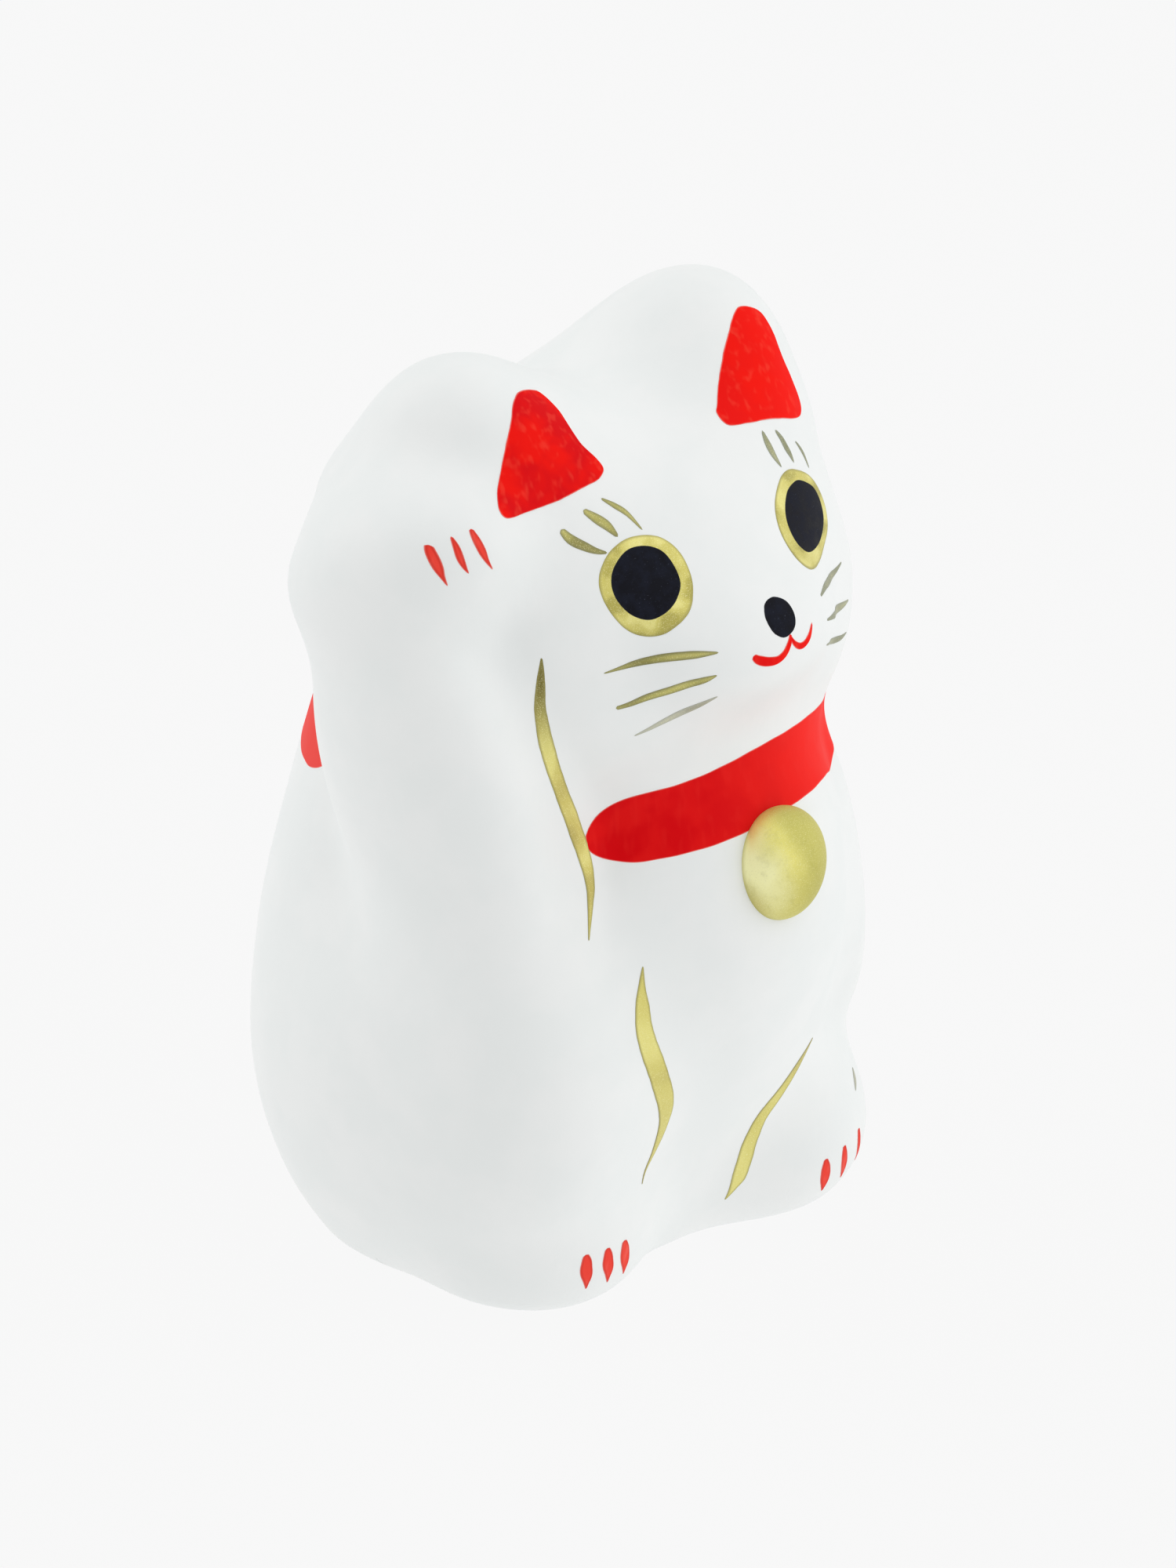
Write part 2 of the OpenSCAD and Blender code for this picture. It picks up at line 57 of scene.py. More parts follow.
# Each mass: centre, half sizes, turn about X, Y and Z, softness of its blend
BODY = {
    "belly": ((0, 5, 24.5), (34.5, 26, 35.5), (0, 0, 0), 1),
    "chest": ((0, -6.5, 44), (21, 24, 26), (0, 0, 0), 12),
    "back": ((0, 10.5, 43.5), (23, 18.5, 36), (0, 0, 0), 10.5),
    "head": ((0, -6.5, 71), (26.5, 20, 22), (-16, 0, 0), 4.5),
    "crown": ((0, 3, 83), (27, 17.5, 7), (0, 0, 0), 6.5),
    "right_ear": ((-13.5, 0.5, 86), (10.5, 12, 16), (17, -18, 0), 10.5),
    "left_ear": ((13.5, 0.5, 86), (10.5, 12, 16), (17, 18, 0), 10.5),
    "right_arm": ((-24.5, -6, 58.5), (9.5, 13.5, 24.5), (-6, -13, 0), 4),
    "wrist": ((-22.5, -7.5, 68.5), (7.5, 8, 13), (-11, -8, 0), 2),
    "web": ((-19, 3, 70), (9, 9.5, 14), (0, 0, 0), 3.5),
    "paw": ((-25.5, -2.5, 82), (9.5, 14, 9), (-29, 12, -2), 5),
    "ridge": ((-18.5, -13.5, 58), (4.5, 5, 17.5), (-6, -8, 0), 3.5),
    "thigh": ((-22, -10.5, 27), (12, 15, 20.5), (8, -4, 0), 11),
    "left_arm": ((18.5, -11, 42), (4.5, 8, 21), (-5, -11, 0), 5.5),
    "right_foot": ((-15.5, -9, 9), (12, 12, 11), (0, 0, 0), 4.5),
    "left_foot": ((13, -11.5, 10.5), (12, 12, 11), (0, 0, 0), 5),
    "muzzle": ((0, -24, 73.5), (10.5, 7, 6), (0, 0, 0), 5.5),
    "tail": ((6, 28, 12), (10, 4.2, 5.5), (0, -12, -12), 6),
}
BELL = {"bell": ((0, -29.5, 50), (5, 4, 6), (0, 0, 0), 0.4)}
# The boss under the bell's gold is a little smaller, so that the gold stands clear of it
BOSS = {"bell": ((0, -29.3, 50), (4.3, 3.4, 5.3), (0, 0, 0), 0.1)}
WHOLE = {**BODY, **BOSS}

WALL = 2.0  # of the moulded paper
BASE_ROUNDING = 3.5  # where the shells turn in to the resting face
AXIS_Y = 2.0  # the upright axis that the rays start from
AXIS_TOP = 66.0  # where the rays begin to fan out over the head
NEAR, REACH = 5.0, 62.0  # along a ray, the surface lies between these
HALVINGS = 17  # of that stretch, to find the surface
FRONT_Y, FRONT_STEPS = -45.0, 60  # where a march from the front starts, and its steps
FIELD_STEP = 0.05  # between the points that give the field's slope
GOLDEN_ANGLE = 2.399963


def turn_matrix(angles):
    a, b, c = np.radians(angles)
    about_x = np.array([[1, 0, 0], [0, np.cos(a), -np.sin(a)], [0, np.sin(a), np.cos(a)]])
    about_y = np.array([[np.cos(b), 0, np.sin(b)], [0, 1, 0], [-np.sin(b), 0, np.cos(b)]])
    about_z = np.array([[np.cos(c), -np.sin(c), 0], [np.sin(c), np.cos(c), 0], [0, 0, 1]])
    return about_z @ about_y @ about_x


def waves(p, length, count, seed):
    """A smooth unevenness between about -1 and 1: sine waves of one length, crossing at many angles."""
    total = np.zeros(p.shape[:-1])
    for i in range(count):
        spin = GOLDEN_ANGLE * (i + seed)
        rise = 1 - 2 * (i + 0.5) / count
        flat = math.sqrt(1 - rise * rise)
        way = np.array([flat * math.cos(spin), flat * math.sin(spin), rise])
        total += np.sin(p @ way * (2 * math.pi / length) + 1.7 * i * i + seed)
    return total / math.sqrt(count)


def hand_made(p):
    """How far the moulded paper's surface wanders from the true form."""
    return 0.055 * waves(p, 17, 9, 3) + 0.022 * waves(p, 7.5, 9, 8)


def gap(p, masses=WHOLE):
    """How far points are outside the masses, taken together, negative inside."""
    p = np.asarray(p, float)
    far = None
    for centre, size, angles, blend in masses.values():
        q = (p - np.array(centre, float)) @ turn_matrix(angles)
        size = np.array(size, float)
        k = np.linalg.norm(q / size, axis=-1)
        g = np.linalg.norm(q / size**2, axis=-1)
        d = k * (k - 1) / np.maximum(g, 1e-9)
        if far is None:
            far = d
            continue
        h = np.maximum(blend - np.abs(far - d), 0) / blend
        far = np.minimum(far, d) - h * h * blend / 4
    return far + hand_made(p)


def outward(p, masses=WHOLE):
    """The way straight out of the surface at each point."""
    steps = [gap(p + e, masses) - gap(p - e, masses) for e in FIELD_STEP * np.eye(3)]
    way = np.stack(steps, -1)
    return way / np.linalg.norm(way, axis=-1, keepdims=True)


def along_rays(start, way, level, masses=WHOLE):
    """The points where rays from the axis meet the surface on which the gap equals level."""
    near = np.full(start.shape[:-1], NEAR)
    far = np.full(start.shape[:-1], REACH)
    for _ in range(HALVINGS):
        middle = (near + far) / 2
        inside = gap(start + middle[..., None] * way, masses) < level
        near = np.where(inside, middle, near)
        far = np.where(inside, far, middle)
    length = (near + far) / 2
    z = start[..., 2] + way[..., 2] * length
    t = np.clip(1 - z / BASE_ROUNDING, 0, 1)
    length = length - BASE_ROUNDING * (1 - np.sqrt(1 - t * t))
    return start + length[..., None] * way


def level_rays(spin, z):
    """Rays that leave the axis level, at heights z and at angles spin, in radians."""
    spin, z = np.broadcast_arrays(spin, z)
    start = np.stack([0 * z, 0 * z + AXIS_Y, z], -1)
    return start, np.stack([np.cos(spin), np.sin(spin), 0 * spin], -1)


def ahead(x, z):
    """The surface points straight ahead of x and z, seen from the front."""
    x, z = np.broadcast_arrays(np.asarray(x, float), np.asarray(z, float))
    y = np.full(x.shape, FRONT_Y)
    for _ in range(FRONT_STEPS):
        y = y + 0.8 * np.clip(gap(np.stack([x, y, z], -1)), -1, 6)
    return np.stack([x, y, z], -1)


# ---- shapes: dictionaries of points, faces, normals and the values that a material reads ----


def grid_faces(rows, columns, start=0, wrap=False):
    """Squares over a grid of points, facing out when its rows go up and its columns go to the right."""
    last = columns if wrap else columns - 1
    return [
        (a + j, a + (j + 1) % columns, a + columns + (j + 1) % columns, a + columns + j)
        for a in range(start, start + (rows - 1) * columns, columns)
        for j in range(last)
    ]


def flipped(faces):
    return [tuple(reversed(f)) for f in faces]


def band(a, b):
    """The squares between two lists of point numbers."""
    return [(a[i], b[i], b[i + 1], a[i + 1]) for i in range(len(a) - 1)]


def rim_of(rows, columns):
    """The numbers of a grid's border points, once round and closed."""
    bottom = list(range(columns))
    right = [i * columns + columns - 1 for i in range(1, rows)]
    top = [(rows - 1) * columns + j for j in range(columns - 2, -1, -1)]
    left = [i * columns for i in range(rows - 2, 0, -1)]
    return bottom + right + top + left + [0]


def closed_shape(outer, inner, cap, rim, ways=None, facts=None):
    """A closed shape between an outer and an inner copy of the same net of points."""
    count = len(outer)
    faces = cap + [tuple(v + count for v in f) for f in flipped(cap)]
    faces += band(rim, [v + count for v in rim])
    shape = {"points": np.concatenate([outer, inner]), "faces": faces}
    if ways is not None:
        shape["normals"] = np.concatenate([ways, -ways])
    shape["facts"] = {key: np.concatenate([v, v]) for key, v in (facts or {}).items()}
    return shape


def closed_sheet(outer, inner, ways=None, facts=None):
    """A closed sheet between two grids of points."""
    rows, columns = outer.shape[:2]
    flat = [None if g is None else g.reshape(-1, 3) for g in (outer, inner, ways)]
    facts = {key: v.ravel() for key, v in (facts or {}).items()}
    return closed_shape(flat[0], flat[1], grid_faces(rows, columns), rim_of(rows, columns), flat[2], facts)


def merged(shapes):
    """Several shapes as one."""
    faces, start = [], 0
    for shape in shapes:
        faces += [tuple(v + start for v in f) for f in shape["faces"]]
        start += len(shape["points"])
    facts = {key: np.concatenate([s["facts"][key] for s in shapes]) for key in shapes[0]["facts"]}
    points = np.concatenate([s["points"] for s in shapes])
    normals = np.concatenate([s["normals"] for s in shapes])
    return {"points": points, "faces": faces, "normals": normals, "facts": facts}


def piece(name, shape, material, node):
    """A mesh piece in metres that rides on the body and stands for one node of the design."""
    mesh = bpy.data.meshes.new(name)
    mesh.from_pydata((shape["points"] * MM).tolist(), [], shape["faces"])
    mesh.update()
    mesh.shade_smooth()
    for key, values in shape.get("facts", {}).items():
        layer = mesh.attributes.new(key, "FLOAT", "POINT")
        layer.data.foreach_set("value", np.asarray(values, np.float32))
    if "normals" in shape:
        mesh.normals_split_custom_set_from_vertices(shape["normals"].tolist())
    mesh.materials.append(material)
    made = bpy.data.objects.new(name, mesh)
    bpy.context.scene.collection.objects.link(made)
    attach(made, BODY_NAME)
    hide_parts(node)
    return made


# ---- the two half shells ----

SHELL_COLUMNS = 190
BODY_ROWS = 135
HEAD_ROWS = 84
# Where rows and columns come closer together: at the rounded base and around the bell
CLOSE_ROWS = ((0, 2.5, 1.5), (50, 6.5, 1.0))
CLOSE_COLUMNS = ((270, 10, 2.0),)
# The surface is held in by this, so that its finest ripple stays inside the design's box
INSET = 0.09


def spaced(low, high, count, places):
    """Values from low to high, closer together around each place: its middle, reach and how much."""
    fine = np.linspace(low, high, 4001)
    weight = 1 + sum(extra * np.exp(-(((fine - middle) / reach) ** 2)) for middle, reach, extra in places)
    total = np.concatenate([[0], np.cumsum((weight[1:] + weight[:-1]) / 2)])
    return np.interp(np.linspace(0, total[-1], count + 1), total, fine)


def shell_grid(start_angle, level):
    """One half of the surface as rows of points, and the single point on top."""
    rows = np.arange(BODY_ROWS + HEAD_ROWS)
    height = spaced(0, AXIS_TOP, BODY_ROWS, CLOSE_ROWS)[np.minimum(rows, BODY_ROWS)]
    rise = np.radians(np.maximum(rows - BODY_ROWS, 0) * 90 / HEAD_ROWS)
    spin = np.radians(spaced(start_angle, start_angle + 180, SHELL_COLUMNS, CLOSE_COLUMNS))
    rise, turn = np.meshgrid(rise, spin, indexing="ij")
    start = np.zeros(rise.shape + (3,))
    start[..., 1] = AXIS_Y
    start[..., 2] = height[:, None]
    way = np.stack([np.cos(turn) * np.cos(rise), np.sin(turn) * np.cos(rise), np.sin(rise)], -1)
    top = along_rays(np.array([[0, AXIS_Y, AXIS_TOP]]), np.array([[0, 0, 1.0]]), level)
    return along_rays(start, way, level), top


def half_shell(node, start_angle):
    """Half of the hollow figure: white outside, bare paper inside and on its cut edges."""
    outer, outer_top = shell_grid(start_angle, -INSET)
    inner, inner_top = shell_grid(start_angle, -WALL)
    rows, columns = outer.shape[:2]
    count = rows * columns
    tips = [2 * count, 2 * count + 1]
    left = [i * columns for i in range(rows)]
    right = [i * columns + columns - 1 for i in range(rows)]
    last = [(rows - 1) * columns + j for j in range(columns)]

    def under(numbers):
        return [v + count for v in numbers]

    outside = grid_faces(rows, columns)
    outside += [(last[j], last[j + 1], tips[0]) for j in range(columns - 1)]
    inside = flipped(grid_faces(rows, columns, count))
    inside += [(tips[1], under(last)[j + 1], under(last)[j]) for j in range(columns - 1)]
    cut = band(range(columns), under(range(columns)))
    cut += flipped(band(left + tips[:1], under(left) + tips[1:]))
    cut += band(right + tips[:1], under(right) + tips[1:])
    points = np.concatenate([outer.reshape(-1, 3), inner.reshape(-1, 3), outer_top, inner_top])
    shape = {"points": points, "faces": outside + inside + cut}
    mesh = piece(node + "_paper", shape, CHALK, node).data
    mesh.materials.append(INSIDE)
    kinds = np.repeat([0, 1], [len(outside), len(inside) + len(cut)])
    mesh.polygons.foreach_set("material_index", kinds.astype(np.int32))
    set_shell_normals(mesh, points, len(outside) + len(inside), count)


def normals_of(parts):
    """The normals of a mesh's vertices or faces."""
    values = np.empty(len(parts) * 3, np.float32)
    parts.foreach_get("normal", values)
    return values.reshape(-1, 3)


def set_shell_normals(mesh, points, sides, count):
    """Normals from the field, so that the halves meet unseen, save on cut edges and the turned base."""
    corner_vertex = np.empty(len(mesh.loops), np.int32)
    mesh.loops.foreach_get("vertex_index", corner_vertex)
    corner_face = np.repeat(np.arange(len(mesh.polygons)), [len(f.vertices) for f in mesh.polygons])
    from_field = outward(points)
    from_field[count : 2 * count] *= -1
    from_field[-1] *= -1
    turned = (points[:, 2] < BASE_ROUNDING) & (points[:, 2] > 0.01)
    by_point = np.where(turned[:, None], normals_of(mesh.vertices), from_field)
    by_face = normals_of(mesh.polygons)
    normals = np.where((corner_face < sides)[:, None], by_point[corner_vertex], by_face[corner_face])
    mesh.normals_split_custom_set(normals.tolist())


# ---- films of paint ----

SINK = 0.12  # every coat goes this far into the shell
COAT = 0.05  # and stands this far above it
EDGE = 0.2  # over this width the coat thins out to its edge


def coat_height(edge, coat):
    """A coat's height at a distance from its edge: rounded off, like a bead of liquid."""
    t = np.clip(edge / EDGE, 0, 1)
    return coat * np.sqrt(1 - (1 - t) ** 2)


def coat_sides(spots, edge, masses, coat=COAT, base=0.0, sink=SINK):
    """The outer and inner points of a coat of paint over surface points, and the way out at each."""
    ways = outward(spots, masses)
    outer = spots + ways * (base - INSET + coat_height(edge, coat))[..., None]
    inner = spots + ways * (base - INSET - sink)
    return outer, inner, ways


def between(a, b, c, d, u):
    """A point of a smooth curve, from b to c as u goes from 0 to 1. It comes from a and goes on to d."""
    return (2 * b + (c - a) * u + (2 * a - 5 * b + 4 * c - d) * u**2 + (3 * b - a - 3 * c + d) * u**3) / 2


def curve(points, t):
    """A smooth curve through a list of points, with t from 0 to 1."""
    points = np.asarray(points, float)
    last = len(points) - 1
    s = np.minimum(np.asarray(t) * last, last - 1e-6)
    i = np.floor(s).astype(int)
    u = (s - i)[..., None]
    return between(*(points[np.clip(i + k, 0, last)] for k in range(-1, 3)), u)


PITCH = 0.22  # between the stations of a brush stroke
FEWEST = 14  # steps between stations, on a short stroke
ACROSS = 10  # steps across a brush stroke
THINNEST = 0.05  # half width of a brush stroke
GLANCE = 0.01  # share of a stroke's length over which its direction is taken
TIP = 0.9  # length of a stroke's rounded tip, in half widths
WOBBLE = 0.015  # how unevenly its sides run, as a share of its width


def stroke(path):
    """A brush stroke on the surface. Its path lists x, z and half width, seen from the front."""
    path = np.asarray(path, float)
    length = np.linalg.norm(np.diff(path[:, :2], axis=0), axis=1).sum()
    t = np.linspace(0, 1, max(FEWEST, int(length / PITCH)) + 1)
    spine = curve(path, t)
    side = curve(path, np.minimum(t + GLANCE, 1)) - curve(path, np.maximum(t - GLANCE, 0))
    side = np.stack([side[:, 1], -side[:, 0]], -1)
    side /= np.linalg.norm(side, axis=1, keepdims=True)
    v = np.sin(np.radians(np.linspace(-90, 90, ACROSS + 1)))
    run = t * length
    rough = [
        1 + WOBBLE * (np.sin(2.1 * run + k + path[0, 0]) + 0.6 * np.sin(5.3 * run + 2 * k))
        for k in (0.4, 2.9)
    ]
    half = np.maximum(spine[:, 2], THINNEST)
    from_end = np.minimum(run, length - run)
    half = half * np.sqrt(1 - (1 - np.clip(from_end / (TIP * half), 0.02, 1)) ** 2)
    width = np.where(v < 0, rough[0][:, None], rough[1][:, None]) * half[:, None]
    x = spine[:, 0, None] + v * width * side[:, 0, None]
    z = spine[:, 1, None] + v * width * side[:, 1, None]
    edge = np.minimum((1 - np.abs(v)) * width, from_end[:, None])
    spots = ahead(x, z)
    outer, inner, ways = coat_sides(spots, edge, WHOLE)
    facts = {"edge": edge, "along": run[:, None] + 0 * x, "across": v * width}
    return closed_sheet(outer, inner, ways, facts)


RINGS = 26  # of points from the middle of a patch to its outline


def disc(spots, edge, along, across, masses, **coat):
    """A closed coat over rings of surface points. The first ring is one point, many times over."""
    n = spots.shape[1]
    outer, inner, ways = coat_sides(spots, edge, masses, **coat)

    def once(values):
        """The values without the repeats of the middle point."""
        values = values.reshape(len(spots), n, -1)
        kept = np.concatenate([values[0, :1], values[1:].reshape(-1, values.shape[-1])])
        return kept if kept.shape[1] > 1 else kept[:, 0]

    def spot(i, j):
        return 1 + i * n + j % n

    cap = [(0, spot(0, j), spot(0, j + 1)) for j in range(n)]
    for i in range(len(spots) - 2):
        cap += [(spot(i, j), spot(i + 1, j), spot(i + 1, j + 1), spot(i, j + 1)) for j in range(n)]
    rim = [spot(len(spots) - 2, j) for j in range(n + 1)]
    facts = {"edge": once(edge), "along": once(along), "across": once(across)}
    return closed_shape(once(outer), once(inner), cap, rim, once(ways), facts)


def patch(outline, **coat):
    """A patch of paint on the surface inside a closed outline of x and z."""
    x, z = outline.T
    if np.sum(x * np.roll(z, -1) - z * np.roll(x, -1)) < 0:
        outline = outline[::-1]
    centre = outline.mean(0)
    f = np.sin(np.radians(np.linspace(0, 90, RINGS + 1))) ** 0.9
    flat = centre + f[:, None, None] * (outline - centre)
    edge = (1 - f)[:, None] * np.linalg.norm(outline - centre, axis=1)
    x, z = flat[..., 0], flat[..., 1]
    return disc(ahead(x, z), edge, x, z, WHOLE, **coat)


DOME_POINTS = 120  # round a dome
DOME_REACH = 2.6  # radians from straight ahead, which is past the foot of any mass
DOME_STEPS, DOME_HALVINGS = 40, 16  # to find the mass's surface, and its foot


def dome(mass, lap, coat):
    """Paint over all of a mass that stands out of the body, down to a lap over its foot."""
    centre, size = (np.array(v, float) for v in next(iter(mass.values()))[:2])
    spin = np.linspace(0, 2 * math.pi, DOME_POINTS, endpoint=False)[None, :]

    def spots(tilt):
        """Points of the mass's own surface, by their angle from straight ahead."""
        tilt = tilt + 0 * spin
        way = np.stack([np.sin(tilt) * np.cos(spin), -np.cos(tilt), np.sin(tilt) * np.sin(spin)], -1)
        length = np.full(tilt.shape, size[1])
        for _ in range(DOME_STEPS):
            length = length - gap(centre + length[..., None] * way, mass)
        return centre + length[..., None] * way

    low, high = np.zeros(spin.shape), np.full(spin.shape, DOME_REACH)
    for _ in range(DOME_HALVINGS):
        middle = (low + high) / 2
        outside = gap(spots(middle), BODY) > -lap
        low, high = np.where(outside, middle, low), np.where(outside, high, middle)
    f = np.linspace(0, 1, RINGS + 1)[:, None]
    points = spots(f * low)
    edge = (1 - f) * low * size[0] + EDGE
    return disc(points, edge, points[..., 0], points[..., 2], mass, coat=coat)


OUTLINE_POINTS = 200


def closed_curve(corners):
    """A smooth closed outline through points that go round once."""
    corners = np.asarray(corners, float)
    n = len(corners)
    s = np.arange(OUTLINE_POINTS) * n / OUTLINE_POINTS
    i = np.floor(s).astype(int)
    u = (s - i)[:, None]
    return between(*(corners[(i + k) % n] for k in range(-1, 3)), u)


def uneven(outline, amount, seed):
    """The outline as a hand paints it, wandering in and out a little."""
    out = outline - outline.mean(0)
    reach = np.linalg.norm(out, axis=1, keepdims=True)
    run = np.cumsum(np.linalg.norm(np.roll(outline, -1, 0) - outline, axis=1))
    turns = 2 * math.pi * run / run[-1]
    wander = sum(np.sin(k * turns + k * seed) / (1 + 0.12 * k) for k in (5, 8, 13, 21, 34))
    return outline + out / reach * (amount * wander / 2)[:, None]


# ---- materials ----


class Nodes:
    """A short way to write the node tree of a material or of the world."""

    def __init__(self, owner):
        owner.use_nodes = True
        self.owner = owner
        self.tree = owner.node_tree
        self.tree.nodes.clear()

    def add(self, kind, inputs=None, **settings):
        node = self.tree.nodes.new("ShaderNode" + kind)
        for key, value in settings.items():
            setattr(node, key, value)
        for key, value in (inputs or {}).items():
            self.give(node.inputs[key], value)
        return node

    def give(self, socket, value):
        if isinstance(value, bpy.types.NodeSocket):
            self.tree.links.new(value, socket)
        elif isinstance(value, bpy.types.Node):
            self.tree.links.new(value.outputs[0], socket)
        else:
            socket.default_value = value

    def place(self):
        """The point on the object, in metres, which stays with the surface."""
        return self.add("TexCoord").outputs["Object"]

    def noise(self, size_mm, detail=2.0, rough=0.5, where=None, distortion=0.0):
        """Noise whose lumps are about size_mm across."""
        inputs = {"Vector": where or self.place(), "Scale": 1 / (size_mm * MM), "Detail": detail}
        inputs.update(Roughness=rough, Distortion=distortion)
        return self.add("TexNoise", inputs, noise_dimensions="3D").outputs["Fac"]

    def fact(self, name):
        """A value that the mesh carries at each point."""
        return self.add("Attribute", attribute_name=name).outputs["Fac"]

    def math(self, operation, *values):
        return self.add("Math", dict(enumerate(values)), operation=operation).outputs[0]

    def spread(self, value, low, high, to_low=0.0, to_high=1.0):
        inputs = {"Value": value, "From Min": low, "From Max": high, "To Min": to_low, "To Max": to_high}
        return self.add("MapRange", inputs, interpolation_type="SMOOTHSTEP").outputs[0]

    def mix(self, amount, a, b):
        node = self.add("Mix", data_type="RGBA", clamp_factor=True)
        self.give(node.inputs[0], amount)
        self.give(node.inputs[6], a)
        self.give(node.inputs[7], b)
        return node.outputs[2]

    def bump(self, height, distance_mm, normal=None):
        inputs = {"Height": height, "Distance": distance_mm * MM, "Strength": 1.0}
        if normal is not None:
            inputs["Normal"] = normal
        return self.add("Bump", inputs).outputs[0]

    def finish(self, **inputs):
        shader = self.add("BsdfPrincipled")
        for key, value in inputs.items():
            self.give(shader.inputs[key.replace("_", " ")], value)
        self.add("OutputMaterial", {"Surface": shader})
        return self.owner


def new_material(name):
    return Nodes(bpy.data.materials.new(name))


def tone(r, g, b):
    """A colour given by its 0 to 255 screen values."""
    linear = [(v / 255 / 12.92) if v <= 10 else ((v / 255 + 0.055) / 1.055) ** 2.4 for v in (r, g, b)]
    return (*linear, 1.0)


def chalk_white():
    """Powdered shell brushed over paper: cool white, almost matt, very faintly uneven."""
    n = new_material("chalk_white")
    clouds = n.noise(9, 3, 0.55)
    grain = n.noise(0.35, 3, 0.6)
    strokes_way = n.add("Mapping", {"Vector": n.place(), "Scale": (1.0, 1.0, 0.16)}).outputs[0]
    brushed = n.noise(0.8, 2, 0.5, where=strokes_way)
    colour = n.mix(n.spread(clouds, 0.35, 0.65), tone(243, 246, 245), tone(246, 248, 247))
    colour = n.mix(n.spread(grain, 0.7, 0.84, 0, 0.12), colour, tone(228, 231, 230))
    rough = n.spread(brushed, 0.3, 0.7, 0.56, 0.68)
    normal = n.bump(grain, 0.008)
    normal = n.bump(brushed, 0.012, normal=normal)
    normal = n.bump(n.noise(3.2, 2, 0.5), 0.02, normal=normal)
    return n.finish(Base_Color=colour, Roughness=rough, Normal=normal, Specular_IOR_Level=0.35)


def red_paint(name, tones, run=(0, 60), streaky=0.4, sides=0.0, paler_stretch=None, patchy=0.25):
    """Vermilion poster paint, laid on by brush: it pales at its thin edge. It goes from deep to full along
    its run, which is painted light.
    """
    n = new_material(name)
    deep, full, pale = (tone(*t) for t in tones)
    edge = n.fact("edge")
    pools = n.noise(3.4, 2, 0.5, distortion=0.3)
    flecks = n.noise(0.2, 1, 0.6)
    slanted = n.add("Mapping", {"Vector": n.place(), "Rotation": (0, 0.75, 0), "Scale": (1, 1, 0.16)})
    streaks = n.noise(0.8, 1, 0.5, where=slanted.outputs[0])
    # Painted light: the red goes from deep to full along its run, brighter towards the cat's left.
    colour = n.mix(n.spread(n.fact("along"), *run), deep, full)
    colour = n.mix(n.spread(pools, 0.36, 0.68, 0, patchy), colour, full)
    colour = n.mix(n.spread(streaks, 0.5, 0.78, 0, streaky), colour, pale)
    colour = n.mix(n.spread(flecks, 0.78, 0.86, 0, streaky / 2), colour, pale)
    if paler_stretch:
        # Paler over this stretch of its run.
        colour = n.mix(n.spread(n.fact("along"), *paler_stretch), colour, tone(246, 78, 72))
    if sides:
        colour = n.mix(n.spread(edge, 0.12, 0.34, sides, 0), colour, tone(176, 20, 18))
    colour = n.mix(n.spread(edge, 0.0, 0.12, 0.85, 0), colour, tone(248, 150, 140))
    normal = n.bump(streaks, 0.008)
    normal = n.bump(flecks, 0.005, normal=normal)
    rough = n.spread(pools, 0.3, 0.7, 0.56, 0.64)
    return n.finish(Base_Color=colour, Roughness=rough, Normal=normal, Specular_IOR_Level=0.07)


def gold_paint(name, tones, thin_to=0.3, shaded_to=0, lumps=5.0):
    """Bronze powder in a binder: satin, greyer where it is thin, with a fine sparkle."""
    n = new_material(name)
    deep, full, bright, thin = (tone(*t) for t in tones)
    edge = n.fact("edge")
    pools = n.noise(lumps, 1, 0.4)
    grain = n.noise(0.13, 2, 0.7)
    flakes = n.noise(0.08, 0, 0.5)
    colour = n.mix(n.spread(pools, 0.36, 0.5), deep, full)
    colour = n.mix(n.spread(pools, 0.5, 0.66, 0, 0.9), colour, bright)
    # Painted shade: the stroke is darker from its start up to this far along its run.
    if shaded_to:
        colour = n.mix(n.spread(n.fact("along"), shaded_to / 4, shaded_to, 1, 0), colour, tone(122, 112, 50))
    colour = n.mix(n.spread(grain, 0.55, 0.75, 0, 0.28), colour, deep)
    colour = n.mix(n.spread(flakes, 0.6, 0.74, 0, 0.5), colour, tone(250, 246, 190))
    colour = n.mix(n.spread(edge, 0.0, thin_to, 0.8, 0), colour, thin)
    normal = n.bump(flakes, 0.008)
    normal = n.bump(grain, 0.008, normal=normal)
    rough = n.spread(grain, 0.3, 0.7, 0.36, 0.5)
    return n.finish(Base_Color=colour, Roughness=rough, Normal=normal, Metallic=0.5)


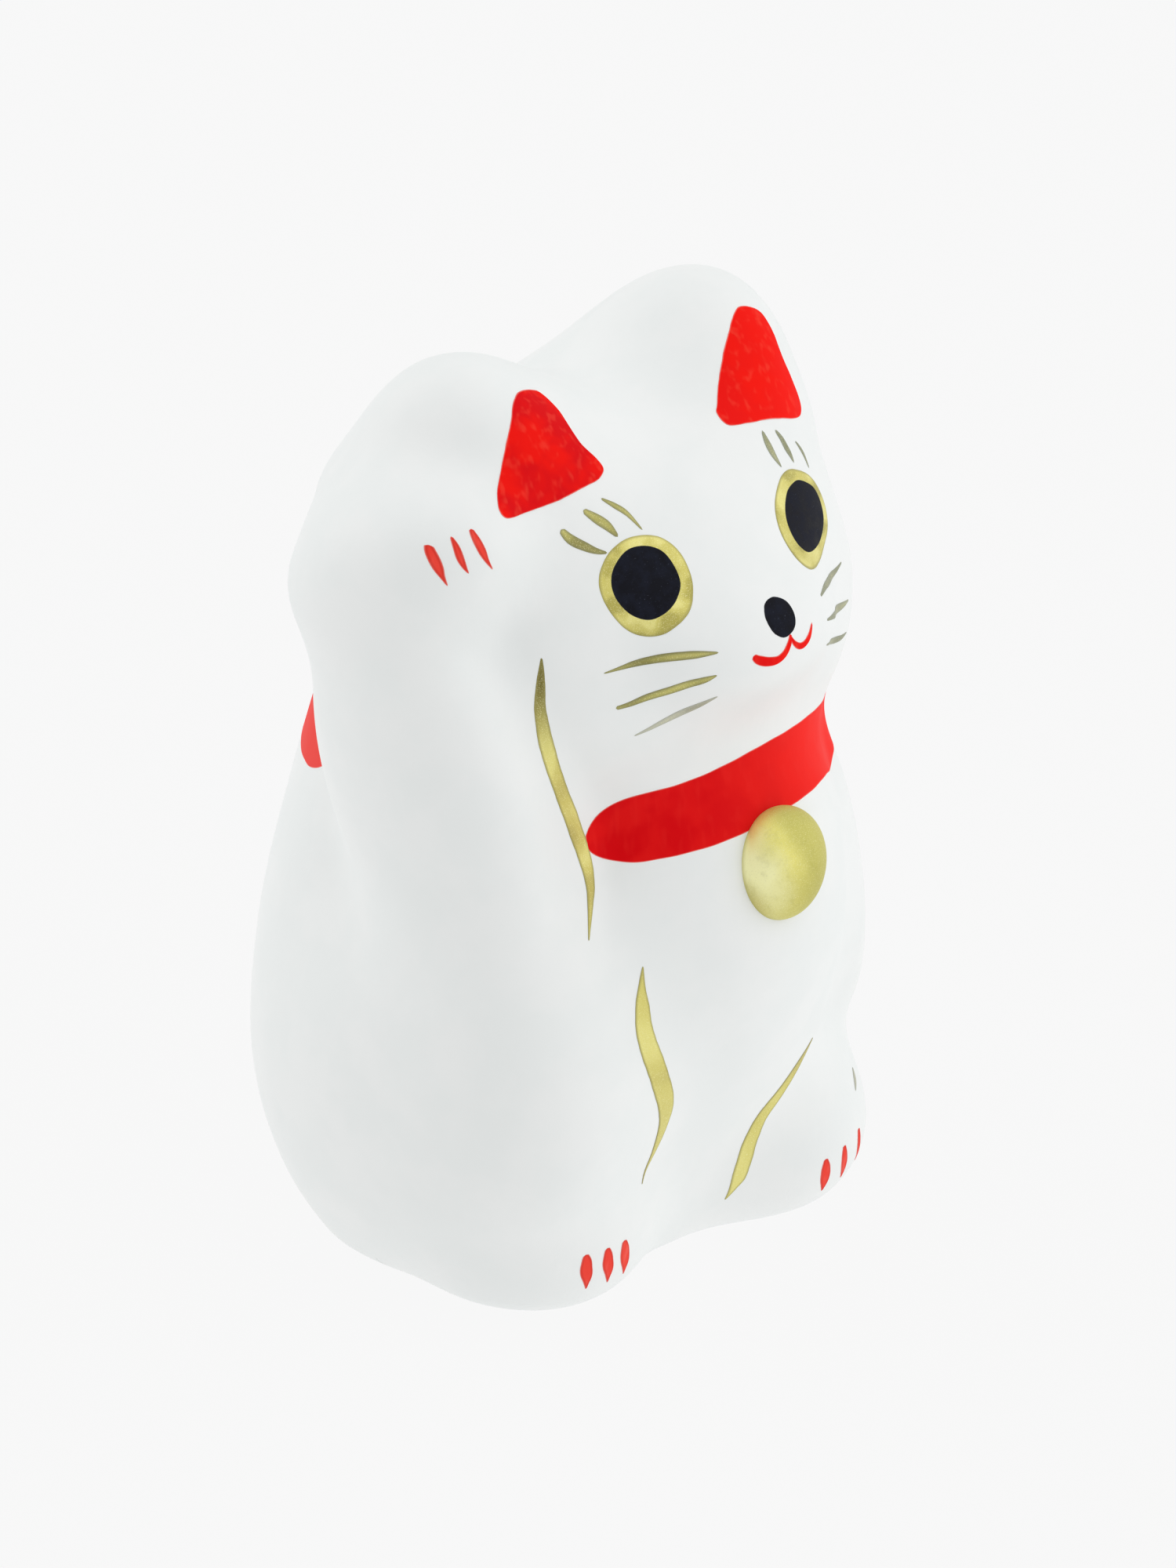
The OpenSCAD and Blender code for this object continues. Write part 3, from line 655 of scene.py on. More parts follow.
def bell_gold():
    """The bell's thicker gold: a smooth satin swelling, with a painted highlight on its upper left, painted
    shade on its lower left and right, and painted light brighter towards its top.
    """
    n = new_material("bell_gold")
    edge = n.fact("edge")
    height = n.fact("across")
    # Painted light and shade follow this sweep across the bell, from its upper left to its right.
    painted_light_sweep = n.math("ADD", n.math("MULTIPLY", height, 0.225), n.fact("along"))
    # Painted shade on the lower left.
    lower_left_shade = n.math("ADD", n.math("MULTIPLY", height, 0.45), n.fact("along"))
    pools = n.noise(3.4, 2, 0.5)
    mottles = n.noise(1.1, 3, 0.6)
    painted_light_sweep = n.math("ADD", painted_light_sweep, n.spread(pools, 0.3, 0.7, -0.4, 0.4))
    # A painted highlight: a bright band on the upper left, fainter lower down.
    bright = n.math("MULTIPLY", n.spread(painted_light_sweep, 4.6, 6.6), n.spread(painted_light_sweep, 7.0, 10.0, 1, 0))
    bright = n.math("MULTIPLY", bright, n.spread(height, 45, 51, 0.25, 1))
    # Painted shade on the right.
    dark = n.spread(painted_light_sweep, 9.2, 12.2)
    grain = n.noise(0.12, 2, 0.7)
    flakes = n.noise(0.08, 0, 0.5)
    # Painted light: brighter towards the top.
    colour = n.mix(n.spread(height, 48, 53), tone(212, 204, 106), tone(242, 234, 132))
    colour = n.mix(bright, colour, tone(255, 252, 190))
    colour = n.mix(n.spread(lower_left_shade, 16.3, 17.9, 0.8, 0), colour, tone(190, 176, 84))
    colour = n.mix(n.math("MULTIPLY", dark, 0.7), colour, tone(186, 180, 84))
    colour = n.mix(n.spread(mottles, 0.5, 0.72, 0, 0.16), colour, tone(178, 170, 78))
    colour = n.mix(n.spread(grain, 0.55, 0.75, 0, 0.2), colour, tone(166, 158, 72))
    colour = n.mix(n.spread(flakes, 0.62, 0.76, 0, 0.4), colour, tone(252, 250, 204))
    colour = n.mix(n.spread(edge, 0.2, 1.1, 0.55, 0), colour, tone(176, 170, 90))
    normal = n.bump(flakes, 0.006)
    normal = n.bump(grain, 0.006, normal=normal)
    rough = n.spread(grain, 0.3, 0.7, 0.5, 0.6)
    return n.finish(Base_Color=colour, Roughness=rough, Normal=normal, Metallic=0.25)


def black_paint():
    """Soot ink with a little blue in it, nearly matt, with dust in the brush marks."""
    n = new_material("black_paint")
    edge = n.fact("edge")
    clouds = n.noise(1.3, 3, 0.6)
    dust = n.noise(0.14, 1, 0.5)
    colour = n.mix(n.spread(clouds, 0.36, 0.66), tone(8, 9, 20), tone(20, 23, 36))
    colour = n.mix(n.spread(dust, 0.7, 0.8, 0, 0.35), colour, tone(96, 100, 116))
    colour = n.mix(n.spread(edge, 0.0, 0.08, 0.4, 0), colour, tone(70, 72, 74))
    normal = n.bump(dust, 0.01)
    normal = n.bump(clouds, 0.02, normal=normal)
    rough = n.spread(clouds, 0.3, 0.7, 0.5, 0.66)
    return n.finish(Base_Color=colour, Roughness=rough, Normal=normal, Specular_IOR_Level=0.12)


def bare_paper(name, light, dark, fibre):
    """Rough unpainted paper, with long fibres and the lumps of its layers."""
    n = new_material(name)
    stretched = n.add("Mapping", {"Vector": n.place(), "Rotation": (0.4, 0.3, 0.8), "Scale": (1, 0.12, 1)})
    crossed = n.add("Mapping", {"Vector": n.place(), "Rotation": (1.2, 0.9, 0.1), "Scale": (0.12, 1, 1)})
    first = n.noise(0.3, 2, 0.6, where=stretched.outputs[0], distortion=1.2)
    second = n.noise(0.25, 2, 0.6, where=crossed.outputs[0], distortion=1.2)
    lumps = n.noise(4, 3, 0.6)
    fibres = n.math("MAXIMUM", n.spread(first, 0.62, 0.72), n.spread(second, 0.62, 0.72))
    colour = n.mix(n.spread(lumps, 0.35, 0.65), dark, light)
    colour = n.mix(n.math("MULTIPLY", fibres, 0.6), colour, fibre)
    normal = n.bump(fibres, 0.05)
    normal = n.bump(lumps, 0.25, normal=normal)
    return n.finish(Base_Color=colour, Roughness=0.92, Normal=normal, Specular_IOR_Level=0.2)


def raw_clay():
    """Dried clay with grit, fine cracks and paler specks of dust."""
    n = new_material("raw_clay")
    grit = n.noise(0.5, 3, 0.7)
    lumps = n.noise(5, 3, 0.6)
    cells = n.add("TexVoronoi", {"Vector": n.place(), "Scale": 1 / (6 * MM)}, feature="DISTANCE_TO_EDGE")
    cracks = n.spread(cells.outputs["Distance"], 0.0, 0.03, 1, 0)
    cracks = n.math("MULTIPLY", cracks, n.spread(lumps, 0.5, 0.65))
    colour = n.mix(n.spread(lumps, 0.35, 0.65), tone(142, 108, 84), tone(172, 138, 110))
    colour = n.mix(n.spread(grit, 0.6, 0.75, 0, 0.5), colour, tone(196, 172, 148))
    colour = n.mix(cracks, colour, tone(88, 62, 46))
    normal = n.bump(grit, 0.08)
    normal = n.bump(cracks, -0.2, normal=normal)
    return n.finish(Base_Color=colour, Roughness=0.9, Normal=normal, Specular_IOR_Level=0.2)


CHALK = chalk_white()
# The tones of a red are deep, full and pale. Those of a gold are deep, full, bright and thin
# Painted light: on the ears the red's run goes across x, so the cat's left ear is brighter than its right.
RED = red_paint(
    "red_paint", ((226, 8, 16), (255, 22, 8), (255, 84, 64)), run=(-12, 25), streaky=0.3, patchy=0.75
)
# Painted light: the collar brightens from deep to full along its run, towards the cat's left.
COLLAR_RED = red_paint(
    "collar_red_paint", ((222, 2, 12), (255, 38, 30), (255, 60, 50)), run=(7, 25), streaky=0.1, paler_stretch=(92, 104)
)
CLAW_RED = red_paint("claw_red_paint", ((246, 70, 56), (252, 90, 76), (254, 120, 106)), sides=0.35)
GOLD = gold_paint(
    "gold_paint", ((204, 192, 104), (218, 208, 116), (234, 226, 138), (162, 154, 90)), lumps=8
)
RING_GOLD = gold_paint(
    "ring_gold_paint", ((184, 174, 86), (214, 204, 110), (236, 228, 142), (166, 158, 92)), lumps=2.6
)
# Painted shade on the arm line's top, where it lies in the crease between the arm and the face.
ARM_GOLD = gold_paint(
    "arm_gold_paint", ((196, 182, 100), (214, 202, 112), (232, 224, 136), (158, 150, 88)), shaded_to=12
)
THIN_GOLD, GREY_GOLD, SILVER_GOLD = (
    gold_paint(name + "_gold_paint", tones, thin_to=0.35)
    for name, tones in (
        ("thin", ((152, 146, 84), (184, 178, 100), (214, 206, 122), (138, 136, 94))),
        ("grey", ((140, 142, 108), (160, 160, 122), (182, 182, 140), (154, 158, 136))),
        ("silver", ((170, 170, 150), (186, 187, 168), (202, 202, 180), (184, 186, 172))),
    )
)
BELL_GOLD = bell_gold()
BLACK = black_paint()
INSIDE = bare_paper("bare_paper", tone(226, 217, 196), tone(206, 194, 168), tone(168, 148, 116))
BOARD = bare_paper("grey_board", tone(190, 176, 150), tone(168, 152, 124), tone(120, 104, 82))
CLAY = raw_clay()


# ---- shells ----

half_shell("front_shell", 180)
half_shell("back_shell", 0)

# ---- red ears ----

RIGHT_EAR = [
    (-12.5, 98.7), (-11.2, 98.0), (-10.5, 96.6), (-10.5, 95.1), (-10.3, 93.6), (-9.6, 92.3), (-9.5, 91.4),
    (-10.7, 90.8), (-12.8, 90.5), (-15.5, 90.0), (-18.6, 89.7), (-21.8, 89.8), (-22.5, 90.6),
    (-21.7, 91.8), (-20.2, 93.3), (-18.6, 95.4), (-17.2, 97.1), (-15.8, 98.5), (-14.3, 99.0),
]
LEFT_EAR = [
    (17.2, 98.9), (18.5, 98.0), (18.8, 96.2), (18.6, 94.2), (18.9, 92.0), (19.1, 89.7), (18.4, 88.7),
    (16.9, 88.8), (13.3, 90.0), (9.8, 90.6), (7.4, 91.0), (7.0, 92.0), (7.8, 92.7), (9.5, 94.4),
    (11.7, 96.5), (13.9, 98.2), (15.7, 99.1),
]
for side, outline, seed in (("right", RIGHT_EAR, 1.3), ("left", LEFT_EAR, 2.1)):
    shape = patch(uneven(closed_curve(outline), 0.05, seed))
    piece("ear_red_" + side, shape, RED, "ear_paint_" + side)

# ---- eyes and nose ----

# The outer edges of each gold ring and of its pupil, and of the nose
EYES = {
    "right": (
        [(-8.4, 85.5), (-7.0, 84.9), (-6.1, 83.7), (-6.0, 82.2), (-6.6, 80.7), (-8.1, 79.0), (-9.9, 77.8),
         (-11.4, 77.1), (-12.8, 77.1), (-14.0, 77.9), (-14.8, 79.5), (-15.0, 81.1), (-14.7, 82.5),
         (-13.7, 83.9), (-12.3, 85.0), (-10.4, 85.6)],
        [(-9.3, 84.7), (-7.9, 84.1), (-7.3, 82.9), (-7.45, 81.3), (-8.6, 80.0), (-10.3, 78.9), (-11.9, 78.5),
         (-13.2, 79.2), (-13.9, 80.7), (-13.7, 82.2), (-12.8, 83.5), (-11.1, 84.6)],
    ),
    "left": (
        [(13.5, 85.3), (15.7, 83.9), (16.8, 82.1), (16.8, 80.2), (15.4, 78.8), (12.0, 77.9), (8.5, 78.3),
         (7.0, 79.5), (6.7, 81.1), (7.0, 82.6), (8.0, 84.1), (10.0, 85.3), (11.8, 85.7)],
        [(13.7, 84.2), (15.6, 82.8), (16.0, 81.2), (15.2, 79.8), (12.8, 78.9), (9.8, 79.2), (8.5, 80.2),
         (8.3, 81.6), (9.0, 83.1), (10.5, 84.2), (12.2, 84.5)],
    ),
}
NOSE = [
    (0.8, 78.6), (1.7, 78.0), (1.85, 76.9), (1.2, 75.8), (-0.35, 75.3), (-1.5, 76.0), (-1.8, 77.3),
    (-1.2, 78.3), (-0.2, 78.7),
]
for side, (gold, pupil) in EYES.items():
    ring = patch(uneven(closed_curve(gold), 0.02, 0.7))
    piece("eye_ring_" + side, ring, RING_GOLD, "eye_gold_" + side)
    ink = patch(uneven(closed_curve(pupil), 0.012, 1.9), base=COAT, sink=0.02)
    piece("pupil_ink_" + side, ink, BLACK, "pupil_" + side)

piece("nose_ink", patch(uneven(closed_curve(NOSE), 0.015, 0.3)), BLACK, "nose_paint")

# ---- brush strokes: x, z and half width along each, seen from the front ----

MOUTH = [
    [(-4.4, 74.4, 0.3), (-3.8, 73.85, 0.5), (-2.7, 73.4, 0.52), (-1.6, 73.3, 0.46), (-0.7, 73.75, 0.4),
     (0.1, 74.7, 0.3), (0.4, 75.4, 0.16)],
    [(0.3, 75.2, 0.16), (0.7, 74.4, 0.28), (1.4, 73.85, 0.36), (2.2, 73.8, 0.38), (3.0, 74.25, 0.34),
     (3.9, 75.4, 0.1)],
]
BROWS = {
    "right": [
        [(-16.5, 87.4, 0.3), (-15.9, 86.4, 0.5), (-14.9, 85.6, 0.46), (-13.9, 85.0, 0.3), (-13.0, 84.7, 0.1)],
        [(-13.7, 88.7, 0.25), (-12.8, 87.8, 0.48), (-12.0, 87.0, 0.48), (-11.4, 85.9, 0.16)],
        [(-11.4, 89.3, 0.1), (-10.4, 88.5, 0.27), (-9.5, 87.6, 0.26), (-8.7, 86.0, 0.08)],
    ],
    "left": [
        [(11.1, 89.6, 0.12), (11.0, 88.6, 0.4), (11.05, 87.8, 0.42), (11.2, 87.1, 0.3), (11.5, 86.2, 0.08)],
        [(12.9, 89.1, 0.12), (13.3, 88.2, 0.3), (13.5, 87.3, 0.36), (13.7, 86.6, 0.28), (13.8, 85.8, 0.08)],
        [(15.4, 87.2, 0.07), (15.8, 86.5, 0.16), (16.15, 85.6, 0.18), (16.3, 84.3, 0.07)],
    ],
}
WHISKERS = {
    "right": [
        [(-16.7, 73.8, 0.06), (-15.1, 74.2, 0.2), (-13.8, 74.55, 0.32), (-12.3, 74.9, 0.38),
         (-10.8, 75.15, 0.4), (-9.3, 75.3, 0.34), (-7.6, 75.35, 0.08)],
        [(-15.9, 70.0, 0.2), (-14.6, 70.3, 0.28), (-13.1, 70.9, 0.38), (-11.6, 71.5, 0.42),
         (-10.2, 72.2, 0.42), (-9.0, 72.6, 0.35), (-8.0, 73.0, 0.08)],
        [(-14.1, 66.6, 0.07), (-12.6, 67.2, 0.22), (-11.1, 68.0, 0.34), (-9.9, 68.7, 0.4),
         (-8.7, 69.4, 0.34), (-7.4, 70.3, 0.08)],
    ],
    "left": [
        [(7.2, 76.6, 0.1), (9.2, 76.5, 0.24), (12.2, 75.7, 0.34), (14.7, 75.15, 0.26), (16.7, 75.1, 0.08)],
        [(6.9, 74.4, 0.1), (9.0, 73.75, 0.3), (11.3, 72.7, 0.42), (13.6, 71.75, 0.44), (15.6, 71.1, 0.34),
         (17.5, 70.7, 0.1)],
        [(7.4, 71.3, 0.1), (9.9, 70.0, 0.26), (12.3, 68.8, 0.34), (14.2, 68.0, 0.34), (15.8, 67.5, 0.24),
         (17.2, 67.2, 0.08)],
    ],
}
LIMB_LINES = {
    "arm_line_right": [
        (-21.2, 75.6, 0.06), (-21.6, 73.2, 0.32), (-22.0, 70.1, 0.53), (-21.7, 66.4, 0.74),
        (-20.6, 62.2, 0.76), (-19.1, 57.8, 0.85), (-18.05, 54.0, 0.8), (-18.0, 51.2, 0.54),
        (-18.6, 49.0, 0.32), (-19.9, 45.8, 0.06),
    ],
    "leg_line_right": [
        (-15.2, 42.2, 0.06), (-15.6, 40.2, 0.38), (-15.8, 37.9, 0.83), (-15.7, 35.1, 1.05),
        (-14.8, 32.2, 1.16), (-13.2, 28.4, 1.2), (-11.8, 25.0, 1.12), (-11.5, 22.7, 0.84),
        (-11.6, 20.6, 0.62), (-11.8, 18.8, 0.38), (-12.2, 16.7, 0.16), (-12.3, 15.2, 0.05),
    ],
    "leg_line_left": [
        (12.7, 22.7, 0.08), (9.8, 20.8, 0.5), (7.1, 18.7, 0.66), (4.8, 16.8, 0.8), (3.6, 14.4, 0.86),
        (3.1, 11.8, 0.82), (2.85, 9.6, 0.72), (2.55, 8.2, 0.38), (2.2, 6.8, 0.07),
    ],
    "flank_line_left": [(19.8, 16.2, 0.06), (19.6, 15.7, 0.25), (19.3, 15.1, 0.3), (18.7, 14.4, 0.08)],
}
CLAWS = {
    "paw_claws_right": [
        [(-30.4, 88.9, 0.26), (-30.5, 88.1, 0.42), (-30.4, 86.9, 0.42), (-30.2, 85.9, 0.22),
         (-29.85, 84.9, 0.05)],
        [(-28.5, 89.6, 0.1), (-28.5, 88.8, 0.29), (-28.5, 87.6, 0.35), (-28.3, 86.7, 0.22),
         (-28.0, 86.0, 0.05)],
        [(-26.5, 90.0, 0.2), (-26.5, 89.2, 0.4), (-26.3, 88.0, 0.44), (-26.0, 86.9, 0.24),
         (-25.5, 85.9, 0.05)],
    ],
    "foot_claws_right": [
        [(x, z, 0.3), (x + 0.2, z - 0.9, 0.58), (x + 0.4, z - 2.0, 0.7), (x + 0.75, z - 3.1, 0.58),
         (x + 0.95, z - 4.1, 0.28), (x + 1.15, z - 4.9, 0.06)]
        for x, z in ((-19.8, 9.7), (-17.15, 9.6), (-14.75, 9.6))
    ],
    "foot_claws_left": [
        [(x, z, 0.25), (x + 0.15, z - 1.2, w), (x + 0.45, z - 2.8, w), (x + 0.8, z - 4.6, 0.08)]
        for x, z, w in ((12.05, 9.7, 0.62), (14.85, 10.2, 0.48), (17.8, 10.8, 0.38))
    ],
}


def strokes(name, paths, material, node):
    piece(name, merged([stroke(path) for path in paths]), material, node)


strokes("mouth_red", MOUTH, RED, "mouth_paint")
for side, paint, last in (("right", THIN_GOLD, SILVER_GOLD), ("left", GREY_GOLD, GREY_GOLD)):
    strokes("brow_gold_" + side, BROWS[side], paint, "brows_" + side)
    strokes("whisker_gold_" + side, WHISKERS[side][:2], paint, "whiskers_" + side)
    strokes("low_whisker_gold_" + side, WHISKERS[side][2:], last, "whiskers_" + side)
for node, path in LIMB_LINES.items():
    paint = {"arm_line_right": ARM_GOLD, "flank_line_left": SILVER_GOLD}.get(node, GOLD)
    strokes(node.replace("line", "gold"), [path], paint, node)
for node, paths in CLAWS.items():
    strokes(node.replace("claws", "claw_red"), paths, CLAW_RED, node)

# ---- collar ----

# Angles are about the axis, from +X against the clock
COLLAR_START, COLLAR_END = 231, 518
COLLAR_Z, COLLAR_HALF = 54.4, 3.4
THROAT, THROAT_RISE, THROAT_SPREAD = 279, 3.8, 37
NAPE_RISE, NAPE_START = 2.4, 320
COLLAR_ROUNDING, COLLAR_END_ROUNDING = 13, 10
COLLAR_DIP, SHOULDER, DIP_REACH = 0.9, 303, 7  # its lower edge sags where it meets the left shoulder
COLLAR_TIP = 0.12  # its least height, as a share of its full height
NECK_RADIUS = 22
COLLAR_ROWS, COLLAR_COLUMNS = 31, 420


def collar():
    """The red collar, from the raised arm round the front, the left side and the back."""
    a = np.linspace(COLLAR_START, COLLAR_END, COLLAR_COLUMNS)[None, :]
    v = np.linspace(-1, 1, COLLAR_ROWS)[:, None]
    middle = COLLAR_Z + THROAT_RISE * np.exp(-(((a - THROAT) / THROAT_SPREAD) ** 2))
    middle = middle + NAPE_RISE * np.sin(np.radians(np.clip((a - NAPE_START) / 2, 0, 90)))
    u = 1 - np.clip((a - COLLAR_START) / COLLAR_ROUNDING, 0, 1)
    w = 1 - np.clip((COLLAR_END - a) / COLLAR_END_ROUNDING, 0, 1)
    half = COLLAR_HALF * np.maximum(COLLAR_TIP, np.sqrt((1 - u * u) * (1 - w * w)))
    wander = 0.05 * np.sin(a / 4.3 + 2 * np.sign(v)) + 0.015 * np.sin(a / 1.15 + np.sign(v))
    dip = COLLAR_DIP * np.exp(-(((a - SHOULDER) / DIP_REACH) ** 2)) * np.maximum(-v, 0)
    z = middle + v * (half + wander) - dip
    spots = along_rays(*level_rays(np.radians(a), z), 0.0, BODY)
    arc = np.radians(a - COLLAR_START) * NECK_RADIUS + 0 * v
    edge = np.minimum((1 - np.abs(v)) * half, np.minimum(arc, arc[0, -1] - arc))
    outer, inner, ways = coat_sides(spots, edge, BODY)
    return closed_sheet(outer, inner, ways, {"edge": edge, "along": arc, "across": v * half})


piece("collar_red", collar(), COLLAR_RED, "collar_paint")

# ---- bell ----

piece("bell_gold", dome(BELL, lap=0.25, coat=0.12), BELL_GOLD, "bell_paint")

# ---- inside ----


def box_mm(node):
    low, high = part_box(node)
    return np.array(low) / MM, np.array(high) / MM


def lathed(rings, count):
    """A closed shape from rings of points, from the middle of its underside to the middle of its top."""
    points = np.concatenate([rings[0][:1], *rings[1:-1], rings[-1][:1]])
    last = len(points) - 1
    tail = last - count
    faces = [(0, 1 + (j + 1) % count, 1 + j) for j in range(count)]
    faces += grid_faces(len(rings) - 2, count, 1, wrap=True)
    faces += [(tail + j, tail + (j + 1) % count, last) for j in range(count)]
    return {"points": points, "faces": faces}


BOARD_WEAR = 0.18  # how far its edge is rounded off
BOARD_POINTS = 240
STRIP_GAP = 0.12  # between a strip or the board and the wall


def board():
    """The board that closes the bottom: its worn edge follows the shells' inner face."""
    low, high = box_mm("base_board")
    worn, count = BOARD_WEAR, BOARD_POINTS
    spin = np.radians(np.arange(count) * 360 / count)
    edge = along_rays(*level_rays(spin, 0.0), -WALL - STRIP_GAP)[:, :2]
    centre = edge.mean(0)
    inward = (centre - edge) / np.linalg.norm(centre - edge, axis=1, keepdims=True)

    def ring(share, inset, z):
        return np.column_stack([centre + (edge - centre) * share + inward * inset, np.full(count, z)])

    shares = [0, 0.25, 0.5, 0.75, 0.93]
    under = [ring(share, 0, low[2]) for share in shares] + [ring(1, worn, low[2])]
    side = [ring(1, 0.2 * worn, low[2] + 0.4 * worn), ring(1, 0, low[2] + worn)]
    side += [ring(1, 0, high[2] - worn), ring(1, 0.2 * worn, high[2] - 0.4 * worn)]
    over = [ring(1, worn, high[2])] + [ring(share, 0, high[2]) for share in reversed(shares)]
    return lathed(under + side + over, count)


CLAY_RINGS, CLAY_POINTS = 40, 120
THUMBS = ((-5.5, -3), (4.5, 3.5))  # the dents, from the middle of the lump
THUMB_DEPTH, THUMB_REACH = 1.6, 4.2


def clay():
    """A lump of clay pressed on the board by hand, with the dents of two thumbs."""
    low, high = box_mm("clay_weight")
    centre = (low + high) / 2
    radius, height = (high[0] - low[0]) / 2, high[2] - low[2]
    count = CLAY_POINTS
    t = np.radians(np.linspace(0, 90, CLAY_RINGS + 1))[:, None]
    spin = np.radians(np.arange(count) * 360 / count)[None, :]
    lobes = 1 - 0.022 * (1 + np.sin(3 * spin + 0.7)) - 0.015 * (1 + np.sin(5 * spin + 2))
    r = radius * np.cos(t) ** 0.7 * lobes
    x, y = centre[0] + r * np.cos(spin), centre[1] + r * np.sin(spin)
    z = low[2] + height * np.sin(t) ** 0.7 + 0 * spin
    for dx, dy in THUMBS:
        away = np.hypot(x - centre[0] - dx, y - centre[1] - dy)
        z = z - THUMB_DEPTH * np.exp(-((away / THUMB_REACH) ** 2)) * np.sin(t) ** 2
    lumps = waves(np.stack([x, y, z], -1), 6, 7, 5)
    z = np.maximum(z - 0.25 * (1 + lumps) * np.sin(t), low[2])
    middle = np.full((1, 3), (centre[0], centre[1], low[2]))
    return lathed([middle, *np.stack([x, y, z], -1)], count)


STRIP = 0.45  # thickness of a pasted strip
STRIP_ANGLE = 10.0  # of the body that a side strip covers, each way from the seam
STRIP_ENDS = 0.8, 0.7  # bare wall below and above a side strip
STRIP_GRID, CROWN_GRID = (90, 22), (60, 30)


def torn(t, seed):
    """The ragged wander of a torn edge, from -1 to 1."""
    return 0.6 * np.sin(17 * t + seed) + 0.3 * np.sin(43 * t + 2 * seed) + 0.25 * np.sin(97 * t + 3 * seed)


def pasted(start, way):
    """A wrinkled strip along the inner wall, where the rays meet it."""
    outer = along_rays(start, way, -WALL - STRIP_GAP)
    wrinkle = 0.05 * waves(outer, 4, 7, 2)
    inner = along_rays(start, way, -WALL - STRIP_GAP - STRIP)
    inner = inner + way * wrinkle[..., None]
    return closed_sheet(outer, inner)


def side_strip(node, angle):
    """A torn strip pasted up the inside of the seam."""
    foot = box_mm(node)[0][2]
    u = np.linspace(0, 1, STRIP_GRID[0])[:, None]
    v = np.linspace(-1, 1, STRIP_GRID[1])[None, :]
    half = STRIP_ANGLE * (0.92 + 0.05 * torn(u, angle / 50 + np.sign(v)))
    spin = np.radians(angle + v * half)
    z = foot + STRIP_ENDS[0] + (AXIS_TOP - foot - sum(STRIP_ENDS)) * u
    return pasted(*level_rays(spin, z))


def crown_strip():
    """A torn strip pasted over the seam inside the crown."""
    half_fan, half_width = 15.5, 7.6
    u = np.linspace(-1, 1, CROWN_GRID[0])[:, None]
    v = np.linspace(-1, 1, CROWN_GRID[1])[None, :]
    f = np.radians(90 + half_fan * u * (1 + 0.03 * torn(v, 1.1)))
    b = np.radians(half_width * v * (1 + 0.04 * torn(u, 2.3)))
    way = np.stack([np.cos(f) * np.cos(b), np.sin(b), np.sin(f) * np.cos(b)], -1)
    return pasted(np.full(way.shape, (0, AXIS_Y, AXIS_TOP)), way)


piece("bottom_board", board(), BOARD, "base_board")
piece("clay_lump", clay(), CLAY, "clay_weight")
for side, angle in (("right", 180), ("left", 0)):
    node = "seam_strip_" + side
    piece(node + "_torn", side_strip(node, angle), INSIDE, node)
piece("seam_strip_crown_torn", crown_strip(), INSIDE, "seam_strip_crown")

# ---- floor, light and camera ----

FLOOR_TONE = tone(248, 248, 248)
FLOOR_SHADE = 0.04  # the share of the floor's light that a shadow can take away
FLOOR_DROP = 0.00002  # metres between the floor and the resting face


def pale_floor():
    """A wide pale floor that is lit evenly from within, as a lit tent's is."""
    count = 96
    spin = [2 * math.pi * i / count for i in range(count)]
    rings = (0.3, 1.0, 3.0, 12.0)
    points = [(0, 0)] + [(r * math.cos(t), r * math.sin(t)) for r in rings for t in spin]
    faces = [(0, 1 + j, 1 + (j + 1) % count) for j in range(count)]
    faces += flipped(grid_faces(len(rings), count, 1, wrap=True))
    mesh = bpy.data.meshes.new("floor")
    mesh.from_pydata([(x, y, -FLOOR_DROP) for x, y in points], [], faces)
    floor = bpy.data.objects.new("floor", mesh)
    bpy.context.scene.collection.objects.link(floor)
    n = new_material("floor")
    cloud = n.spread(n.noise(400, 2, 0.5), 0.3, 0.7, 0.998, 1.0)
    white = n.add("CombineColor", {0: cloud, 1: cloud, 2: cloud}).outputs[0]
    glow = {"Emission_Color": white, "Emission_Strength": FLOOR_TONE[0] - FLOOR_SHADE}
    shade = (FLOOR_SHADE, FLOOR_SHADE, FLOOR_SHADE, 1)
    mesh.materials.append(n.finish(Base_Color=shade, Roughness=1.0, Specular_IOR_Level=0.0, **glow))


WORLD_LIGHT, DARKEST_LIGHT = 1.185, 0.03
# Where the tent is dimmer or brighter: the way there, by how much, and how narrowly
LIGHT_SIDES = (
    ((-0.92, -0.39, 0.05), -0.75, 7.0),
    ((-0.86, -0.50, 0.09), -0.65, 9.0),
    ((0.71, 0.41, 0.57), -0.55, 10.0),
    ((-0.50, 0.86, 0.09), 0.25, 22.0),
    ((0.50, 0.86, 0.05), -0.50, 8.0),
    ((0.00, 0.82, 0.57), 0.12, 10.0),
)


